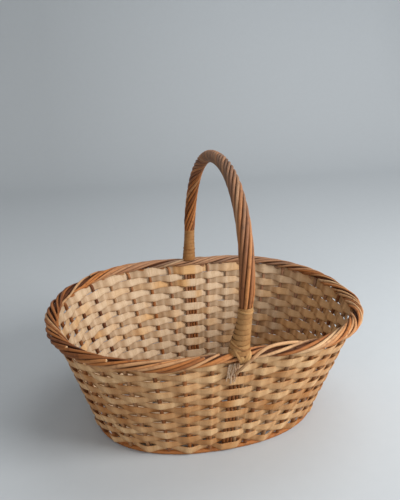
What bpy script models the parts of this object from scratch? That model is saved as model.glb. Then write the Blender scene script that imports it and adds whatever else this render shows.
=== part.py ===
"""An oval foraging basket of split willow, woven round turned-down stakes, with a roped bow handle.

Metres, +Z up. The long axis lies along X and the handle arches over Y. The basket stands on z = 0,
with the origin under the middle of its outline.
"""

import math

import bpy
import bmesh
import numpy as np
from mathutils import Matrix

# Clearances
GAP = 0.0003
OVERRUN = 0.002
MERGE_DISTANCE = 0.00002

# Overall form of the oval
RIM_HALF_LENGTH = 0.200
RIM_HALF_WIDTH = 0.166
RIM_HEIGHT = 0.160
RIM_SQUARENESS = 2.30
END_DIP = 0.007
FOOT_HALF_LENGTH = 0.1475
FOOT_HALF_WIDTH = 0.1045
FOOT_SQUARENESS = 2.23
DRAW_IN = 0.012
DRAW_IN_REACH = 0.058

# Stakes: round rods that stand in the wall and turn down to make the border
STAKE_COUNT = 36
STAKE_DIAMETER = 0.0038
STAKE_BEND_SHARES = (0.35, 0.70)
FRONT_STATION = 27
BACK_STATION = 9

# Weavers: flat split strips, one closed round for each row
ROW_COUNT = 16
STRIP_THICKNESS = 0.0011
ROW_GAP = 0.0005

# Border: every stake's tail rolls over the rim through four lanes
BORDER_HALF_WIDTH = 0.0062
BORDER_HALF_HEIGHT = 0.0040
BORDER_SHIFT_OUT = 0.0018
TAIL_START = 0.25
TAIL_END = 4.0
TAIL_POINTS = 8
TAIL_POINTS_AT_HANDLE = 16
LANE_FROM = math.radians(-70)
LANE_TO = math.radians(205)
LANE_TOP = math.radians(89)
SPREAD_NESTING = 0.0024
SPREAD_TURN = math.radians(20)
SPREAD_REACH = math.radians(20)
SPREAD_STAKES = 0.8

# Foot: one thick rod round the edge of the base, worn flat where it stands
FOOT_ROD_DIAMETER = 0.0060
FOOT_FLAT = 0.0003
FOOT_SIDES = 8
FOOT_STEP = 0.0281

# Base: cross sticks pierced by long sticks, filled by one long spiral strip
CROSS_STICK_COUNT = 5
CROSS_STICK_PITCH = 0.0185
CROSS_STICK_DIAMETER = 0.0048
LONG_STICK_DIAMETER = 0.0042
LONG_STICK_LANES = (-0.0135, -0.0045, 0.0045, 0.0135)
LONG_STICKS_LEFT = 3
LONG_STICK_FAN = 0.055
BASE_STRIP_WIDTH = 0.0095
BASE_STRIP_GAP = 0.0008
BASE_STRIP_EASE = 0.0005
BASE_ROUNDS = 5.4

# Handle: a bow with willow rods roped round it
FRONT_FOOT_X = 0.002
BACK_FOOT_X = 0.014
HANDLE_LEAN = 0.009
HANDLE_TOP = 0.336
HANDLE_BULGE = 0.0032
HANDLE_BULGE_HEIGHT = 0.050
HANDLE_SQUARENESS = 2.16
HANDLE_DIAMETER = 0.0172
HANDLE_APEX_SHARE = 0.90
HANDLE_POINTS = 22
ROPE_RODS = 10
ROPE_TURNS = 1.25
ROPE_GATHER = 2.2
ROPE_CREST_SHARES = (0.3, 0.7)
ROPE_GROOVE_SHARE = 0.135
LEG_CLEARANCE = 0.0012
BOUND_SHARE = 0.85

# The roping rods that run on down into the wall, beside the stake
TAIL_ROD_PITCH = STAKE_DIAMETER + 2 * GAP
TAIL_ROD_PLACES = (-1.5, -0.5, 0.5)
TAIL_ROD_TOP_SHARES = (0.66, 0.80)
TAIL_ROD_END_SHARES = (0.5, 0.12)
STAKE_PLACE = 1.5

# Bindings: flat skein wound round the feet of the handle
BINDING_HEIGHT = 0.046
BINDING_THICKNESS = 0.0010
BINDING_TURNS = 6
BINDING_GROOVE = 0.0005
BINDING_FLARE = 0.0018
BINDING_STEPS = 12

# Lashing: two slanting bands of the same skein that tie the front foot of the handle down over the border
LASHING_WIDTH = 0.0046
LASHING_THICKNESS = 0.0010
LASHING_ROOM = 0.0002
LASHING_ROOM_ABOVE = 0.000502
LASHING_SPREAD = 0.0085
LASHING_FROM = math.radians(57)
LASHING_TURN = math.radians(-122)
LASHING_STEPS = 9

# Colours and roughness of the materials
STRIP_COLOUR = (0.60, 0.42, 0.22, 1)
ROD_COLOUR = (0.40, 0.19, 0.07, 1)
SKEIN_COLOUR = (0.50, 0.32, 0.14, 1)
STRIP_ROUGHNESS = 0.55
ROD_ROUGHNESS = 0.42
SKEIN_ROUGHNESS = 0.50

# Sizes that follow from those above
STAKE_RADIUS = STAKE_DIAMETER / 2
FOOT_RADIUS = FOOT_ROD_DIAMETER / 2
SPREAD_EXTRA = STAKE_DIAMETER - SPREAD_NESTING
BORDER_REACH = BORDER_SHIFT_OUT + BORDER_HALF_WIDTH + STAKE_RADIUS
BORDER_DROP = BORDER_HALF_HEIGHT + STAKE_RADIUS
WALL_HEIGHT = RIM_HEIGHT - BORDER_DROP - FOOT_RADIUS
WALL_BOTTOM = FOOT_ROD_DIAMETER + 2 * GAP
WALL_TOP = RIM_HEIGHT - 2 * BORDER_DROP
WEAVE_OUT = STAKE_RADIUS + 2 * GAP + STRIP_THICKNESS / 2
BUNDLE_HALF = 2 * TAIL_ROD_PITCH
LASHING_REACH = BORDER_HALF_WIDTH + SPREAD_EXTRA + STAKE_RADIUS + LASHING_ROOM
LASHING_RISE = BORDER_DROP + LASHING_ROOM_ABOVE
BASE_LIFT = CROSS_STICK_DIAMETER / 2 + 2 * GAP + STRIP_THICKNESS / 2 + BASE_STRIP_EASE
BASE_LEVEL = BASE_LIFT + STRIP_THICKNESS / 2 + FOOT_FLAT
TRACK_POINTS = 1440


def superellipse(half_length, half_width, squareness, angle):
    """A place on an oval whose corners are fuller than an ellipse's."""
    c, s = np.cos(angle), np.sin(angle)
    power = 2 / squareness
    return half_length * np.sign(c) * np.abs(c) ** power, half_width * np.sign(s) * np.abs(s) ** power


def blend(low, high, share):
    return low + (high - low) * share


def handle_x(y):
    """Where the handle's plane crosses the rim: its two feet don't stand quite opposite each other."""
    return blend(FRONT_FOOT_X, BACK_FOOT_X, (y / RIM_HALF_WIDTH + 1) / 2)


def wall_line(angle, rise):
    """The middle of the wall in plan, at a share of its height."""
    half_length = blend(FOOT_HALF_LENGTH - FOOT_RADIUS, RIM_HALF_LENGTH - BORDER_REACH, rise)
    half_width = blend(FOOT_HALF_WIDTH - FOOT_RADIUS, RIM_HALF_WIDTH - BORDER_REACH, rise)
    x, y = superellipse(half_length, half_width, blend(FOOT_SQUARENESS, RIM_SQUARENESS, rise), angle)
    drawn = DRAW_IN * rise * np.exp(-(((x - handle_x(y)) / DRAW_IN_REACH) ** 2))
    return x, y - np.sign(y) * drawn


# The way round is measured in turns, at an even pace along the rim
ANGLES = np.linspace(0, 2 * math.pi, TRACK_POINTS + 1)
RIM_X, RIM_Y = wall_line(ANGLES, 1.0)
RIM_STEPS = np.hypot(np.diff(RIM_X), np.diff(RIM_Y))
TURNS = np.concatenate([[0], np.cumsum(RIM_STEPS)]) / RIM_STEPS.sum()
TRACK_STEP = 1 / TRACK_POINTS
FOOT_POINTS = 4 * math.ceil(RIM_STEPS.sum() / (4 * FOOT_STEP))


def plan(turn, rise):
    return wall_line(np.interp(np.mod(turn, 1), TURNS, ANGLES), rise)


def wall_point(turn, rise, out=0.0, up=0.0, along=0.0):
    """A place on the wall: turns round it, a share up it, then moved out, up and along it."""
    x, y = plan(turn, rise)
    x_after, y_after = plan(turn + TRACK_STEP, rise)
    x_before, y_before = plan(turn - TRACK_STEP, rise)
    dx, dy = x_after - x_before, y_after - y_before
    length = np.hypot(dx, dy)
    dx, dy = dx / length, dy / length
    height = WALL_HEIGHT - END_DIP * (plan(turn, 1.0)[0] / RIM_HALF_LENGTH) ** 2
    z = FOOT_RADIUS + height * rise + up
    return np.array([x + dy * out + dx * along, y - dx * out + dy * along, z])


def wall_lean(turn, rise):
    """How far the wall leans out from upright there."""
    low, high = wall_point(turn, rise - TRACK_STEP), wall_point(turn, rise + TRACK_STEP)
    return math.atan2(math.hypot(high[0] - low[0], high[1] - low[1]), high[2] - low[2])


def station_turn(side):
    """The turn at which the handle's foot stands, on the front (-1) or the back (1)."""
    chosen = np.sign(RIM_Y) == side
    offset = RIM_X[chosen] - handle_x(RIM_Y[chosen])
    order = np.argsort(offset)
    return float(np.interp(0, offset[order], TURNS[chosen][order]))


FRONT_TURN = station_turn(-1)
BACK_TURN = station_turn(1)


def stake_turn(number):
    """Stakes are even between the two feet of the handle, where one stands in the middle."""
    numbers = [FRONT_STATION - STAKE_COUNT, BACK_STATION, FRONT_STATION, BACK_STATION + STAKE_COUNT]
    turns = [FRONT_TURN - 1, BACK_TURN, FRONT_TURN, BACK_TURN + 1]
    return float(np.interp(number, numbers, turns))


def is_station(number):
    return number % STAKE_COUNT in (FRONT_STATION, BACK_STATION)


def rise_at(height):
    """The share of the wall's height that this height is, at the handle."""
    return (height - FOOT_RADIUS) / WALL_HEIGHT


# Collections, materials and the shapes that all pieces are made with

def clear_scene():
    for obj in list(bpy.data.objects):
        bpy.data.objects.remove(obj, do_unlink=True)


def new_collection(name):
    collection = bpy.data.collections.new(name)
    bpy.context.scene.collection.children.link(collection)
    return collection


def new_material(name, colour, roughness):
    material = bpy.data.materials.new(name)
    material.use_nodes = True
    shader = material.node_tree.nodes["Principled BSDF"]
    shader.inputs["Base Color"].default_value = colour
    shader.inputs["Roughness"].default_value = roughness
    shader.inputs["Metallic"].default_value = 0
    return material


def add_object(name, data, material, collection):
    obj = bpy.data.objects.new(name, data)
    collection.objects.link(obj)
    if material:
        data.materials.append(material)
    return obj


def make_guide(obj):
    obj.hide_render = True
    obj.display_type = "WIRE"
    return obj


def add_guide(name, outline, collection):
    """A flat closed outline that a strip or a roped bow is swept with."""
    data = bpy.data.curves.new(name, "CURVE")
    data.dimensions = "2D"
    data.fill_mode = "NONE"
    spline = data.splines.new("POLY")
    spline.points.add(len(outline) - 1)
    for point, (x, y) in zip(spline.points, outline):
        point.co = (x, y, 0, 1)
    spline.use_cyclic_u = True
    return make_guide(add_object(name, data, None, collection))


def sweep(name, points, material, collection, closed=False, tilts=None, radii=None):
    """A curve object through these points, still without a thickness."""
    data = bpy.data.curves.new(name, "CURVE")
    data.dimensions = "3D"
    data.twist_mode = "Z_UP"
    data.use_fill_caps = not closed
    spline = data.splines.new("POLY")
    spline.points.add(len(points) - 1)
    for index, place in enumerate(points):
        point = spline.points[index]
        point.co = (*place, 1)
        point.tilt = tilts[index] if tilts is not None else 0
        point.radius = radii[index] if radii is not None else 1
    spline.use_cyclic_u = closed
    spline.use_smooth = True
    return add_object(name, data, material, collection)


def rod(name, points, diameter, material, collection):
    """A round willow rod of six sides."""
    obj = sweep(name, points, material, collection)
    obj.data.bevel_depth = diameter / 2
    obj.data.bevel_resolution = 1
    return obj


def strip(name, points, tilts, guide, material, collection, closed=True):
    obj = sweep(name, points, material, collection, closed, tilts)
    obj.data.bevel_mode = "OBJECT"
    obj.data.bevel_object = guide
    return obj


def to_mesh(obj, collection):
    """The same object as a closed mesh, so that it can be joined to others."""
    graph = bpy.context.evaluated_depsgraph_get()
    mesh = bpy.data.meshes.new_from_object(obj.evaluated_get(graph))
    work = bmesh.new()
    work.from_mesh(mesh)
    bmesh.ops.remove_doubles(work, verts=work.verts, dist=MERGE_DISTANCE)
    bmesh.ops.recalc_face_normals(work, faces=work.faces)
    work.to_mesh(mesh)
    work.free()
    name = obj.name
    bpy.data.objects.remove(obj, do_unlink=True)
    mesh.name = name
    made = bpy.data.objects.new(name, mesh)
    collection.objects.link(made)
    return made


def join(obj, others, guides):
    """Joins the others to this mesh by Boolean unions and keeps them as hidden guides."""
    for other in others:
        union = obj.modifiers.new(f"join {other.name}", "BOOLEAN")
        union.operation = "UNION"
        union.solver = "MANIFOLD"
        union.object = other
        make_guide(other)
        for holder in list(other.users_collection):
            holder.objects.unlink(other)
        guides.objects.link(other)


# Stakes and border

def lane_table():
    """Evenly spaced places on the path that a tail rolls through, as shares of it and as angles."""
    angle = np.linspace(LANE_FROM, LANE_TO, TRACK_POINTS)
    steps = np.hypot(
        np.diff(BORDER_HALF_WIDTH * np.cos(angle)), np.diff(BORDER_HALF_HEIGHT * np.sin(angle))
    )
    return np.concatenate([[0], np.cumsum(steps)]) / steps.sum(), angle


LANE_SHARES, LANE_ANGLES = lane_table()


def near_station(number):
    """1 at a foot of the handle, easing to 0 a little way along the rim."""
    distance = min(abs(number - station) for station in (
        FRONT_STATION, BACK_STATION, BACK_STATION + STAKE_COUNT
    ))
    return math.exp(-((distance / SPREAD_STAKES) ** 2))


def border_point(number, step_share):
    """A tail's place, at this stake number and this share of its way over the border.

    By the handle the tails keep off the top of the border, where the handle's rods come through.
    """
    spread = near_station(number)
    angle = float(np.interp(step_share, LANE_SHARES, LANE_ANGLES))
    past_top = (angle - LANE_TOP) / SPREAD_REACH
    angle += spread * SPREAD_TURN * past_top * math.exp((1 - past_top ** 2) / 2)
    half_width = BORDER_HALF_WIDTH + spread * SPREAD_EXTRA
    out = BORDER_SHIFT_OUT + half_width * math.cos(angle)
    return wall_point(stake_turn(number), 1.0, out, BORDER_HALF_HEIGHT * math.sin(angle))


def stake_points(number):
    """Up the wall from the foot, then over the border and in behind its neighbours."""
    along = STAKE_PLACE * TAIL_ROD_PITCH if is_station(number) else 0
    turn = stake_turn(number)
    rises = (rise_at(WALL_BOTTOM), *STAKE_BEND_SHARES, rise_at(WALL_TOP))
    points = [wall_point(turn, rise, along=along) for rise in rises]
    passes_handle = any(is_station(number + lane) for lane in range(1, math.ceil(TAIL_END) + 1))
    for step_share in np.linspace(0, 1, TAIL_POINTS_AT_HANDLE if passes_handle else TAIL_POINTS):
        points.append(border_point(number + blend(TAIL_START, TAIL_END, step_share), step_share))
    return points


def build_stakes(material, collection):
    for number in range(STAKE_COUNT):
        rod(f"stake_{number + 1:02d}", stake_points(number), STAKE_DIAMETER, material, collection)


# Weavers

def build_weavers(material, collection, guides):
    """Each row passes in front of one stake and behind the next, and the rows change sides.

    The rows are as high as the steepest part of the wall has room for.
    """
    low = rise_at(WALL_BOTTOM)
    high = rise_at(WALL_TOP - STAKE_RADIUS / 2 - GAP)
    row_rise = (high - low) / ROW_COUNT
    middle = (low + high) / 2
    end_slope = (WALL_HEIGHT - END_DIP) / math.cos(wall_lean(0, middle))
    side_slopes = [WALL_HEIGHT / math.cos(wall_lean(turn, middle)) for turn in (FRONT_TURN, BACK_TURN)]
    row_height = row_rise * min(end_slope, *side_slopes)
    half_width, half_thickness = (row_height - ROW_GAP) / 2, STRIP_THICKNESS / 2
    guide = add_guide("strip_section", [
        (-half_thickness, half_width), (half_thickness, half_width),
        (half_thickness, -half_width), (-half_thickness, -half_width),
    ], guides)
    for row in range(ROW_COUNT):
        rise = blend(low, high, (row + 1 / 2) / ROW_COUNT)
        points, tilts = [], []
        for number in range(STAKE_COUNT):
            turn = stake_turn(number)
            side = 1 if (number + row) % 2 else -1
            for along in (-BUNDLE_HALF, BUNDLE_HALF) if is_station(number) else (0,):
                points.append(wall_point(turn, rise, side * WEAVE_OUT, along=along))
                tilts.append(wall_lean(turn, rise))
        strip(f"weaver_{row + 1:02d}", points, tilts, guide, material, collection)


# Foot and base

def build_foot(material, collection, guides):
    """The rod's underside is flat, so the basket stands on a level face."""
    outline = []
    for index in range(FOOT_SIDES):
        angle = -2 * math.pi * (index + 1 / 2) / FOOT_SIDES
        y = max(FOOT_RADIUS * math.sin(angle), FOOT_FLAT - FOOT_RADIUS)
        outline.append((FOOT_RADIUS * math.cos(angle), y))
    guide = add_guide("foot_section", outline, guides)
    lowest = min(y for _, y in outline)
    points = []
    for index in range(FOOT_POINTS):
        x, y = plan(index / FOOT_POINTS, 0)
        points.append((x, y, -lowest))
    strip("foot_rod", points, [0] * FOOT_POINTS, guide, material, collection)


def cross_stick_places():
    middle = (CROSS_STICK_COUNT - 1) / 2
    return [(index - middle) * CROSS_STICK_PITCH for index in range(CROSS_STICK_COUNT)]


def long_stick_ends(lanes, side):
    """From the last cross stick to the edge, on the right (1) or the left (-1), fanned out."""
    bend = cross_stick_places()[-1] + CROSS_STICK_DIAMETER
    fan = np.linspace(-LONG_STICK_FAN, LONG_STICK_FAN, len(lanes))
    return [((side * bend, lane), (side * FOOT_HALF_LENGTH, y)) for lane, y in zip(lanes, fan)]


def cross_stick_ends(side):
    """From the middle to the edge, on the back (1) or the front (-1)."""
    return [((x, 0), (x, side * FOOT_HALF_WIDTH)) for x in cross_stick_places()]


def crossing(end, inset):
    """Where a stick's end passes the oval this far inside the foot rod."""
    (x_from, y_from), (x_to, y_to) = end
    inside = FOOT_ROD_DIAMETER + GAP + inset
    shares = np.linspace(0, 1, TRACK_POINTS)
    x, y = blend(x_from, x_to, shares), blend(y_from, y_to, shares)
    level = np.abs(x / (FOOT_HALF_LENGTH - inside)) ** FOOT_SQUARENESS
    level += np.abs(y / (FOOT_HALF_WIDTH - inside)) ** FOOT_SQUARENESS
    share = np.interp(1, level, shares)
    return float(blend(x_from, x_to, share)), float(blend(y_from, y_to, share))


def between(end, other):
    """A way out from the middle of the base midway between two stick ends, with no stick in it."""
    return tuple(((x + x_other) / 2, (y + y_other) / 2) for (x, y), (x_other, y_other) in zip(end, other))


def way_round():
    """Each end that the base's strip passes, counter-clockwise, and whether a stick lies there.

    The sticks are odd in number, so the strip changes sides on each round.
    """
    right = long_stick_ends(LONG_STICK_LANES, 1)
    left = long_stick_ends(LONG_STICK_LANES[:LONG_STICKS_LEFT], -1)
    half = len(right) // 2
    groups = [right[half:], cross_stick_ends(1)[::-1], left[::-1], cross_stick_ends(-1), right[:half]]
    way = [(end, True) for end in groups[0]]
    for before, group in zip(groups, groups[1:]):
        way.append((between(before[-1], group[0]), False))
        way += [(end, True) for end in group]
    return way


def build_base_sticks(material, collection, guides):
    """The long sticks pierce the cross sticks, so the frame is one piece."""
    sticks = []
    for index, (front, back) in enumerate(zip(cross_stick_ends(-1), cross_stick_ends(1))):
        points = [(*crossing(front, 0), BASE_LEVEL), (*crossing(back, 0), BASE_LEVEL)]
        sticks.append(rod(f"cross_stick_{index + 1}", points, CROSS_STICK_DIAMETER, material, collection))
    right = long_stick_ends(LONG_STICK_LANES, 1)
    left = long_stick_ends(LONG_STICK_LANES[:LONG_STICKS_LEFT], -1)
    for index, end in enumerate(right):
        if index < len(left):
            plan_points = [crossing(left[index], 0), left[index][0]]
        else:
            plan_points = [(end[0][0] - CROSS_STICK_PITCH, end[0][1])]
        plan_points += [end[0], crossing(end, 0)]
        points = [(x, y, BASE_LEVEL) for x, y in plan_points]
        sticks.append(rod(f"long_stick_{index + 1}", points, LONG_STICK_DIAMETER, material, collection))
    sticks = [to_mesh(stick, collection) for stick in sticks]
    sticks[0].name = "base_sticks"
    join(sticks[0], sticks[1:], guides)


def build_base_strip(material, collection, guides):
    """One strip that spirals in from the edge, over and under the stick ends in turn."""
    half_width, half_thickness = BASE_STRIP_WIDTH / 2, STRIP_THICKNESS / 2
    guide = add_guide("base_strip_section", [
        (-half_width, half_thickness), (half_width, half_thickness),
        (half_width, -half_thickness), (-half_width, -half_thickness),
    ], guides)
    way = way_round()
    pitch = BASE_STRIP_WIDTH + BASE_STRIP_GAP
    points, passed = [], 0
    for step in range(round(BASE_ROUNDS * len(way))):
        end, is_stick = way[step % len(way)]
        x, y = crossing(end, half_width + pitch * step / len(way))
        passed += is_stick
        side = (1 if passed % 2 else -1) * is_stick
        points.append((x, y, BASE_LEVEL + side * BASE_LIFT))
    strip("base_strip", points, [0] * len(points), guide, material, collection, closed=False)


# Handle and bindings

def leg_foot(turn):
    """Where a leg of the handle stands, just above the border."""
    return wall_point(turn, 1.0, BORDER_SHIFT_OUT, BORDER_DROP + LEG_CLEARANCE)


def bow_point(share):
    """The middle of the bow, from the top of the front leg to the top of the back leg."""
    foot = leg_foot(FRONT_TURN if share < 1 / 2 else BACK_TURN)
    leg_top = RIM_HEIGHT + HANDLE_BULGE_HEIGHT
    along, over = superellipse(
        abs(foot[1]) + HANDLE_BULGE, HANDLE_TOP - leg_top, HANDLE_SQUARENESS, math.pi * share
    )
    z = leg_top + over
    x = blend(leg_foot(FRONT_TURN)[0], leg_foot(BACK_TURN)[0], (1 - math.cos(math.pi * share)) / 2)
    return np.array([x + HANDLE_LEAN * (z - foot[2]) / (HANDLE_TOP - foot[2]), -along, z])


def rope_outline():
    """Rods side by side round the bow, each as a low arch of three sides."""
    radius = HANDLE_DIAMETER / 2
    places = [(0, radius * (1 - ROPE_GROOVE_SHARE))] + [(share, radius) for share in ROPE_CREST_SHARES]
    outline = []
    for index in range(ROPE_RODS):
        for place, reach in places:
            angle = 2 * math.pi * (index + place) / ROPE_RODS
            outline.append((reach * math.cos(angle), reach * math.sin(angle)))
    return outline


def tail_rod_points(turn, place):
    """From inside the handle's foot, through the border and down the wall."""
    along = place * TAIL_ROD_PITCH
    in_leg, in_border = (along * share for share in TAIL_ROD_TOP_SHARES)
    points = [
        wall_point(turn, 1.0, BORDER_SHIFT_OUT, BORDER_DROP + LEG_CLEARANCE + OVERRUN, in_leg),
        wall_point(turn, 1.0, BORDER_SHIFT_OUT, -BORDER_HALF_HEIGHT / 2, in_border),
        wall_point(turn, rise_at(WALL_TOP), along=along),
    ]
    return points + [wall_point(turn, share, along=along) for share in TAIL_ROD_END_SHARES]


def build_handle(material, collection, guides):
    guide = add_guide("rope_section", rope_outline(), guides)
    bow_shares = np.linspace(0, 1, HANDLE_POINTS)
    points = [leg_foot(FRONT_TURN), *(bow_point(share) for share in bow_shares), leg_foot(BACK_TURN)]
    lengths = np.concatenate([[0], np.cumsum([
        np.linalg.norm(after - before) for before, after in zip(points, points[1:])
    ])])
    tilts = [2 * math.pi * ROPE_TURNS * share ** ROPE_GATHER for share in lengths / lengths[-1]]
    radii = [blend(1, HANDLE_APEX_SHARE, math.sin(math.pi * share)) for share in bow_shares]
    radii = [BOUND_SHARE, BOUND_SHARE, *radii[1:-1], BOUND_SHARE, BOUND_SHARE]
    bow = sweep("handle", points, material, collection, tilts=tilts, radii=radii)
    bow.data.twist_mode = "MINIMUM"
    bow.data.bevel_mode = "OBJECT"
    bow.data.bevel_object = guide
    bow = to_mesh(bow, collection)
    tails = []
    for side, turn in (("front", FRONT_TURN), ("back", BACK_TURN)):
        for index, place in enumerate(TAIL_ROD_PLACES):
            tail = rod(
                f"{side}_tail_{index + 1}", tail_rod_points(turn, place), STAKE_DIAMETER, material, collection
            )
            tails.append(to_mesh(tail, collection))
    join(bow, tails, guides)


def build_binding(name, turn, leg_top, flare, material, collection):
    """A turned sleeve with a groove between the turns of the skein, set on a leg of the handle."""
    bore = HANDLE_DIAMETER / 2 * BOUND_SHARE + 2 * GAP
    profile = [(bore, BINDING_HEIGHT)]
    for index in range(2 * BINDING_TURNS + 1):
        share = 1 - index / (2 * BINDING_TURNS)
        groove = 0 if index % 2 else BINDING_GROOVE
        reach = bore + BINDING_THICKNESS - groove + flare * (1 - share) ** 2
        profile.append((reach, BINDING_HEIGHT * share))
    profile.append((bore, 0))
    data = bpy.data.meshes.new(name)
    count = len(profile)
    data.from_pydata(
        [(x, 0, z) for x, z in profile], [(index, (index + 1) % count) for index in range(count)], []
    )
    obj = add_object(name, data, material, collection)
    turned = obj.modifiers.new("turned", "SCREW")
    turned.steps = turned.render_steps = BINDING_STEPS
    turned.use_merge_vertices = True
    turned.merge_threshold = MERGE_DISTANCE
    obj.location = leg_foot(turn)
    lean_x, lean_y, rise = leg_top - leg_foot(turn)
    obj.rotation_euler = (-math.atan2(lean_y, math.hypot(lean_x, rise)), math.atan2(lean_x, rise), 0)


def add_band(work, side):
    """A flat end of skein spun round the border's middle from one side of the leg to under it."""
    made = bmesh.ops.create_grid(work, x_segments=1, y_segments=1, size=1 / 2)["verts"]
    bmesh.ops.scale(work, verts=made, vec=(LASHING_WIDTH, LASHING_THICKNESS, 1))
    start = (side * LASHING_SPREAD, -LASHING_REACH - LASHING_THICKNESS / 2, 0)
    bmesh.ops.translate(work, verts=made, vec=start)
    bmesh.ops.rotate(work, verts=made, cent=(0, 0, 0), matrix=Matrix.Rotation(-LASHING_FROM, 3, "X"))
    bmesh.ops.delete(work, geom=list(work.faces), context="FACES_ONLY")
    bmesh.ops.spin(
        work, geom=list(work.edges), cent=(0, 0, 0), axis=(1, 0, 0), angle=-LASHING_TURN,
        steps=LASHING_STEPS, dvec=(-side * LASHING_SPREAD / LASHING_STEPS, 0, 0),
    )
    bmesh.ops.holes_fill(work, edges=[edge for edge in work.edges if edge.is_boundary], sides=0)


def build_lashing(turn, material, collection, guides):
    """Two bands that meet under the border in front of the handle's foot."""
    bands = []
    for side in (-1, 1):
        work = bmesh.new()
        add_band(work, side)
        bmesh.ops.scale(work, verts=work.verts, vec=(1, 1, LASHING_RISE / LASHING_REACH))
        bmesh.ops.remove_doubles(work, verts=work.verts, dist=MERGE_DISTANCE)
        bmesh.ops.recalc_face_normals(work, faces=work.faces)
        name = "lashing_front" if side < 0 else "lashing_other"
        data = bpy.data.meshes.new(name)
        work.to_mesh(data)
        work.free()
        band = add_object(name, data, material, collection)
        band.location = wall_point(turn, 1.0, BORDER_SHIFT_OUT)
        bands.append(band)
    join(bands[0], bands[1:], guides)


# Putting the basket together

def main():
    clear_scene()
    basket = new_collection("foraging_basket")
    guides = new_collection("guides")
    strip_material = new_material("split_willow", STRIP_COLOUR, STRIP_ROUGHNESS)
    rod_material = new_material("willow_rod", ROD_COLOUR, ROD_ROUGHNESS)
    skein_material = new_material("willow_skein", SKEIN_COLOUR, SKEIN_ROUGHNESS)
    build_foot(rod_material, basket, guides)
    build_base_sticks(rod_material, basket, guides)
    build_base_strip(strip_material, basket, guides)
    build_stakes(rod_material, basket)
    build_weavers(strip_material, basket, guides)
    build_handle(rod_material, basket, guides)
    build_binding("binding_front", FRONT_TURN, bow_point(0), BINDING_FLARE, skein_material, basket)
    build_binding("binding_back", BACK_TURN, bow_point(1), 0, skein_material, basket)
    build_lashing(FRONT_TURN, skein_material, basket, guides)


main()
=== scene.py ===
"""The looks of an oval foraging basket: split willow randed round turned-down stakes, and a roped bow handle.

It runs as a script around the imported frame. Every size is in metres, +Z is up, and the origin lies under
the middle of the basket. The way round the rim is counted in turns, counter-clockwise from the +X end.
"""

import math

import bmesh
import bpy
import numpy as np
from bpy.props import FloatProperty, FloatVectorProperty, IntProperty, PointerProperty
from mathutils import Matrix, Vector


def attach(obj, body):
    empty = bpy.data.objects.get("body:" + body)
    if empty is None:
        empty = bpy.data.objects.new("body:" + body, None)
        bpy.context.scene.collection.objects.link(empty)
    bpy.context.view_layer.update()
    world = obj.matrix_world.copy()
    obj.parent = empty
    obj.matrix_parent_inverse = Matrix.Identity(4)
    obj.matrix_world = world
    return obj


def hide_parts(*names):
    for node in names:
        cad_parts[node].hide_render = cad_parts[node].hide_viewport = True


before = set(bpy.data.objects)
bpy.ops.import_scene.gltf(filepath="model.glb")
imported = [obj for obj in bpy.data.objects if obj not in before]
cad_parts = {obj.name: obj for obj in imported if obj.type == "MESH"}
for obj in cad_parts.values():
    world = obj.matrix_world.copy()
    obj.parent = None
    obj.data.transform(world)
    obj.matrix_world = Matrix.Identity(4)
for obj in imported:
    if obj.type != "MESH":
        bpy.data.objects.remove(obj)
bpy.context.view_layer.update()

bl_info = {
    "name": "Foraging basket",
    "version": (1, 0, 0),
    "blender": (4, 5, 0),
    "location": "3D View > Sidebar > Basket",
    "description": "Builds the woven willow, roped handle and bindings of a foraging basket",
    "category": "Object",
}

# The two ends of the lashing: places along, out from and above the rim, and which way their faces look
LASHING_ROUTES = (
    (
        (-0.0124, 0.0018, 0.0160, -1, 0.1, 0), (-0.0106, 0.0080, 0.0132, -0.7, 0.7, 0.1),
        (-0.0080, 0.0114, 0.0092, -0.3, 0.95, 0.2), (-0.0055, 0.0124, 0.0040, -0.1, 1, 0.15),
        (-0.0028, 0.0116, -0.0020, 0, 1, -0.1), (-0.0012, 0.0086, -0.0070, 0, 0.7, -0.7),
        (0.0000, 0.0048, -0.0090, 0, 0.4, -0.9),
    ),
    (
        (0.0080, 0.0040, 0.0085, 1, 0.3, 0), (0.0068, 0.0086, 0.0062, 0.6, 0.8, 0.1),
        (0.0048, 0.0112, 0.0026, 0.2, 1, 0.2), (0.0026, 0.0118, -0.0018, 0, 1, 0),
        (0.0012, 0.0094, -0.0062, 0, 0.75, -0.6), (0.0000, 0.0052, -0.0092, 0, 0.4, -0.9),
    ),
)
# Each end is two bands of skein side by side
BAND_SPREAD = 0.0016
BAND_HALF_WIDTH = 0.0018
BAND_TONES = ((-1, 0.55), (1, 0.95))

# Twist of the handle's rods along the bow, as shares of the way and how fast they turn there
ROPE_TWIST = (
    (0, 0), (0.12, 0.6), (0.20, 2.2), (0.30, 3.6), (0.42, 5.2), (0.50, 7.5), (0.60, 7.5), (0.72, 4.6),
    (1, 3.4),
)
# How thick the rope is along the bow, thinner under the two bindings, and where its rods are most worn
ROPE_THINNING = ((0, 0.82), (0.09, 0.83), (0.12, 1), (0.90, 1), (0.93, 0.86), (1, 0.86))
WORN_PLACE = 0.44
WORN_REACH = 0.19
WORN_BLEACHED = 0.42
WORN_DIM = 0.6
ROPE_TONES = (0.06, 0.36, 0.68, 0.38, 0.22, 0.12, 0.54, 0.26, 0.42)

# Border rods by the number of their stake, with the second rods at the halves: those whose tails are
# cut short, with the share of the way that is left, their tones, and how faded they are
CUT_SHORT = {12: 0.46, 13: 0.26, 15: 0.22, 19: 0.42, 21: 0.36, 23.5: 0.50, 24: 0.40, 24.5: 0.44}
BORDER_TONES = (
    (0, 0.52), (3, 0.36), (7, 0.54), (12, 0.62), (16, 0.36), (19, 0.30), (22, 0.46), (25, 0.50), (27, 0.72),
    (29, 0.80), (32, 0.70), (36, 0.52),
)
BORDER_TONE_SPREAD = 0.23
BORDER_FADING = ((0, 0), (2, 0.30), (8, 0.30), (11, 0))

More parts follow.
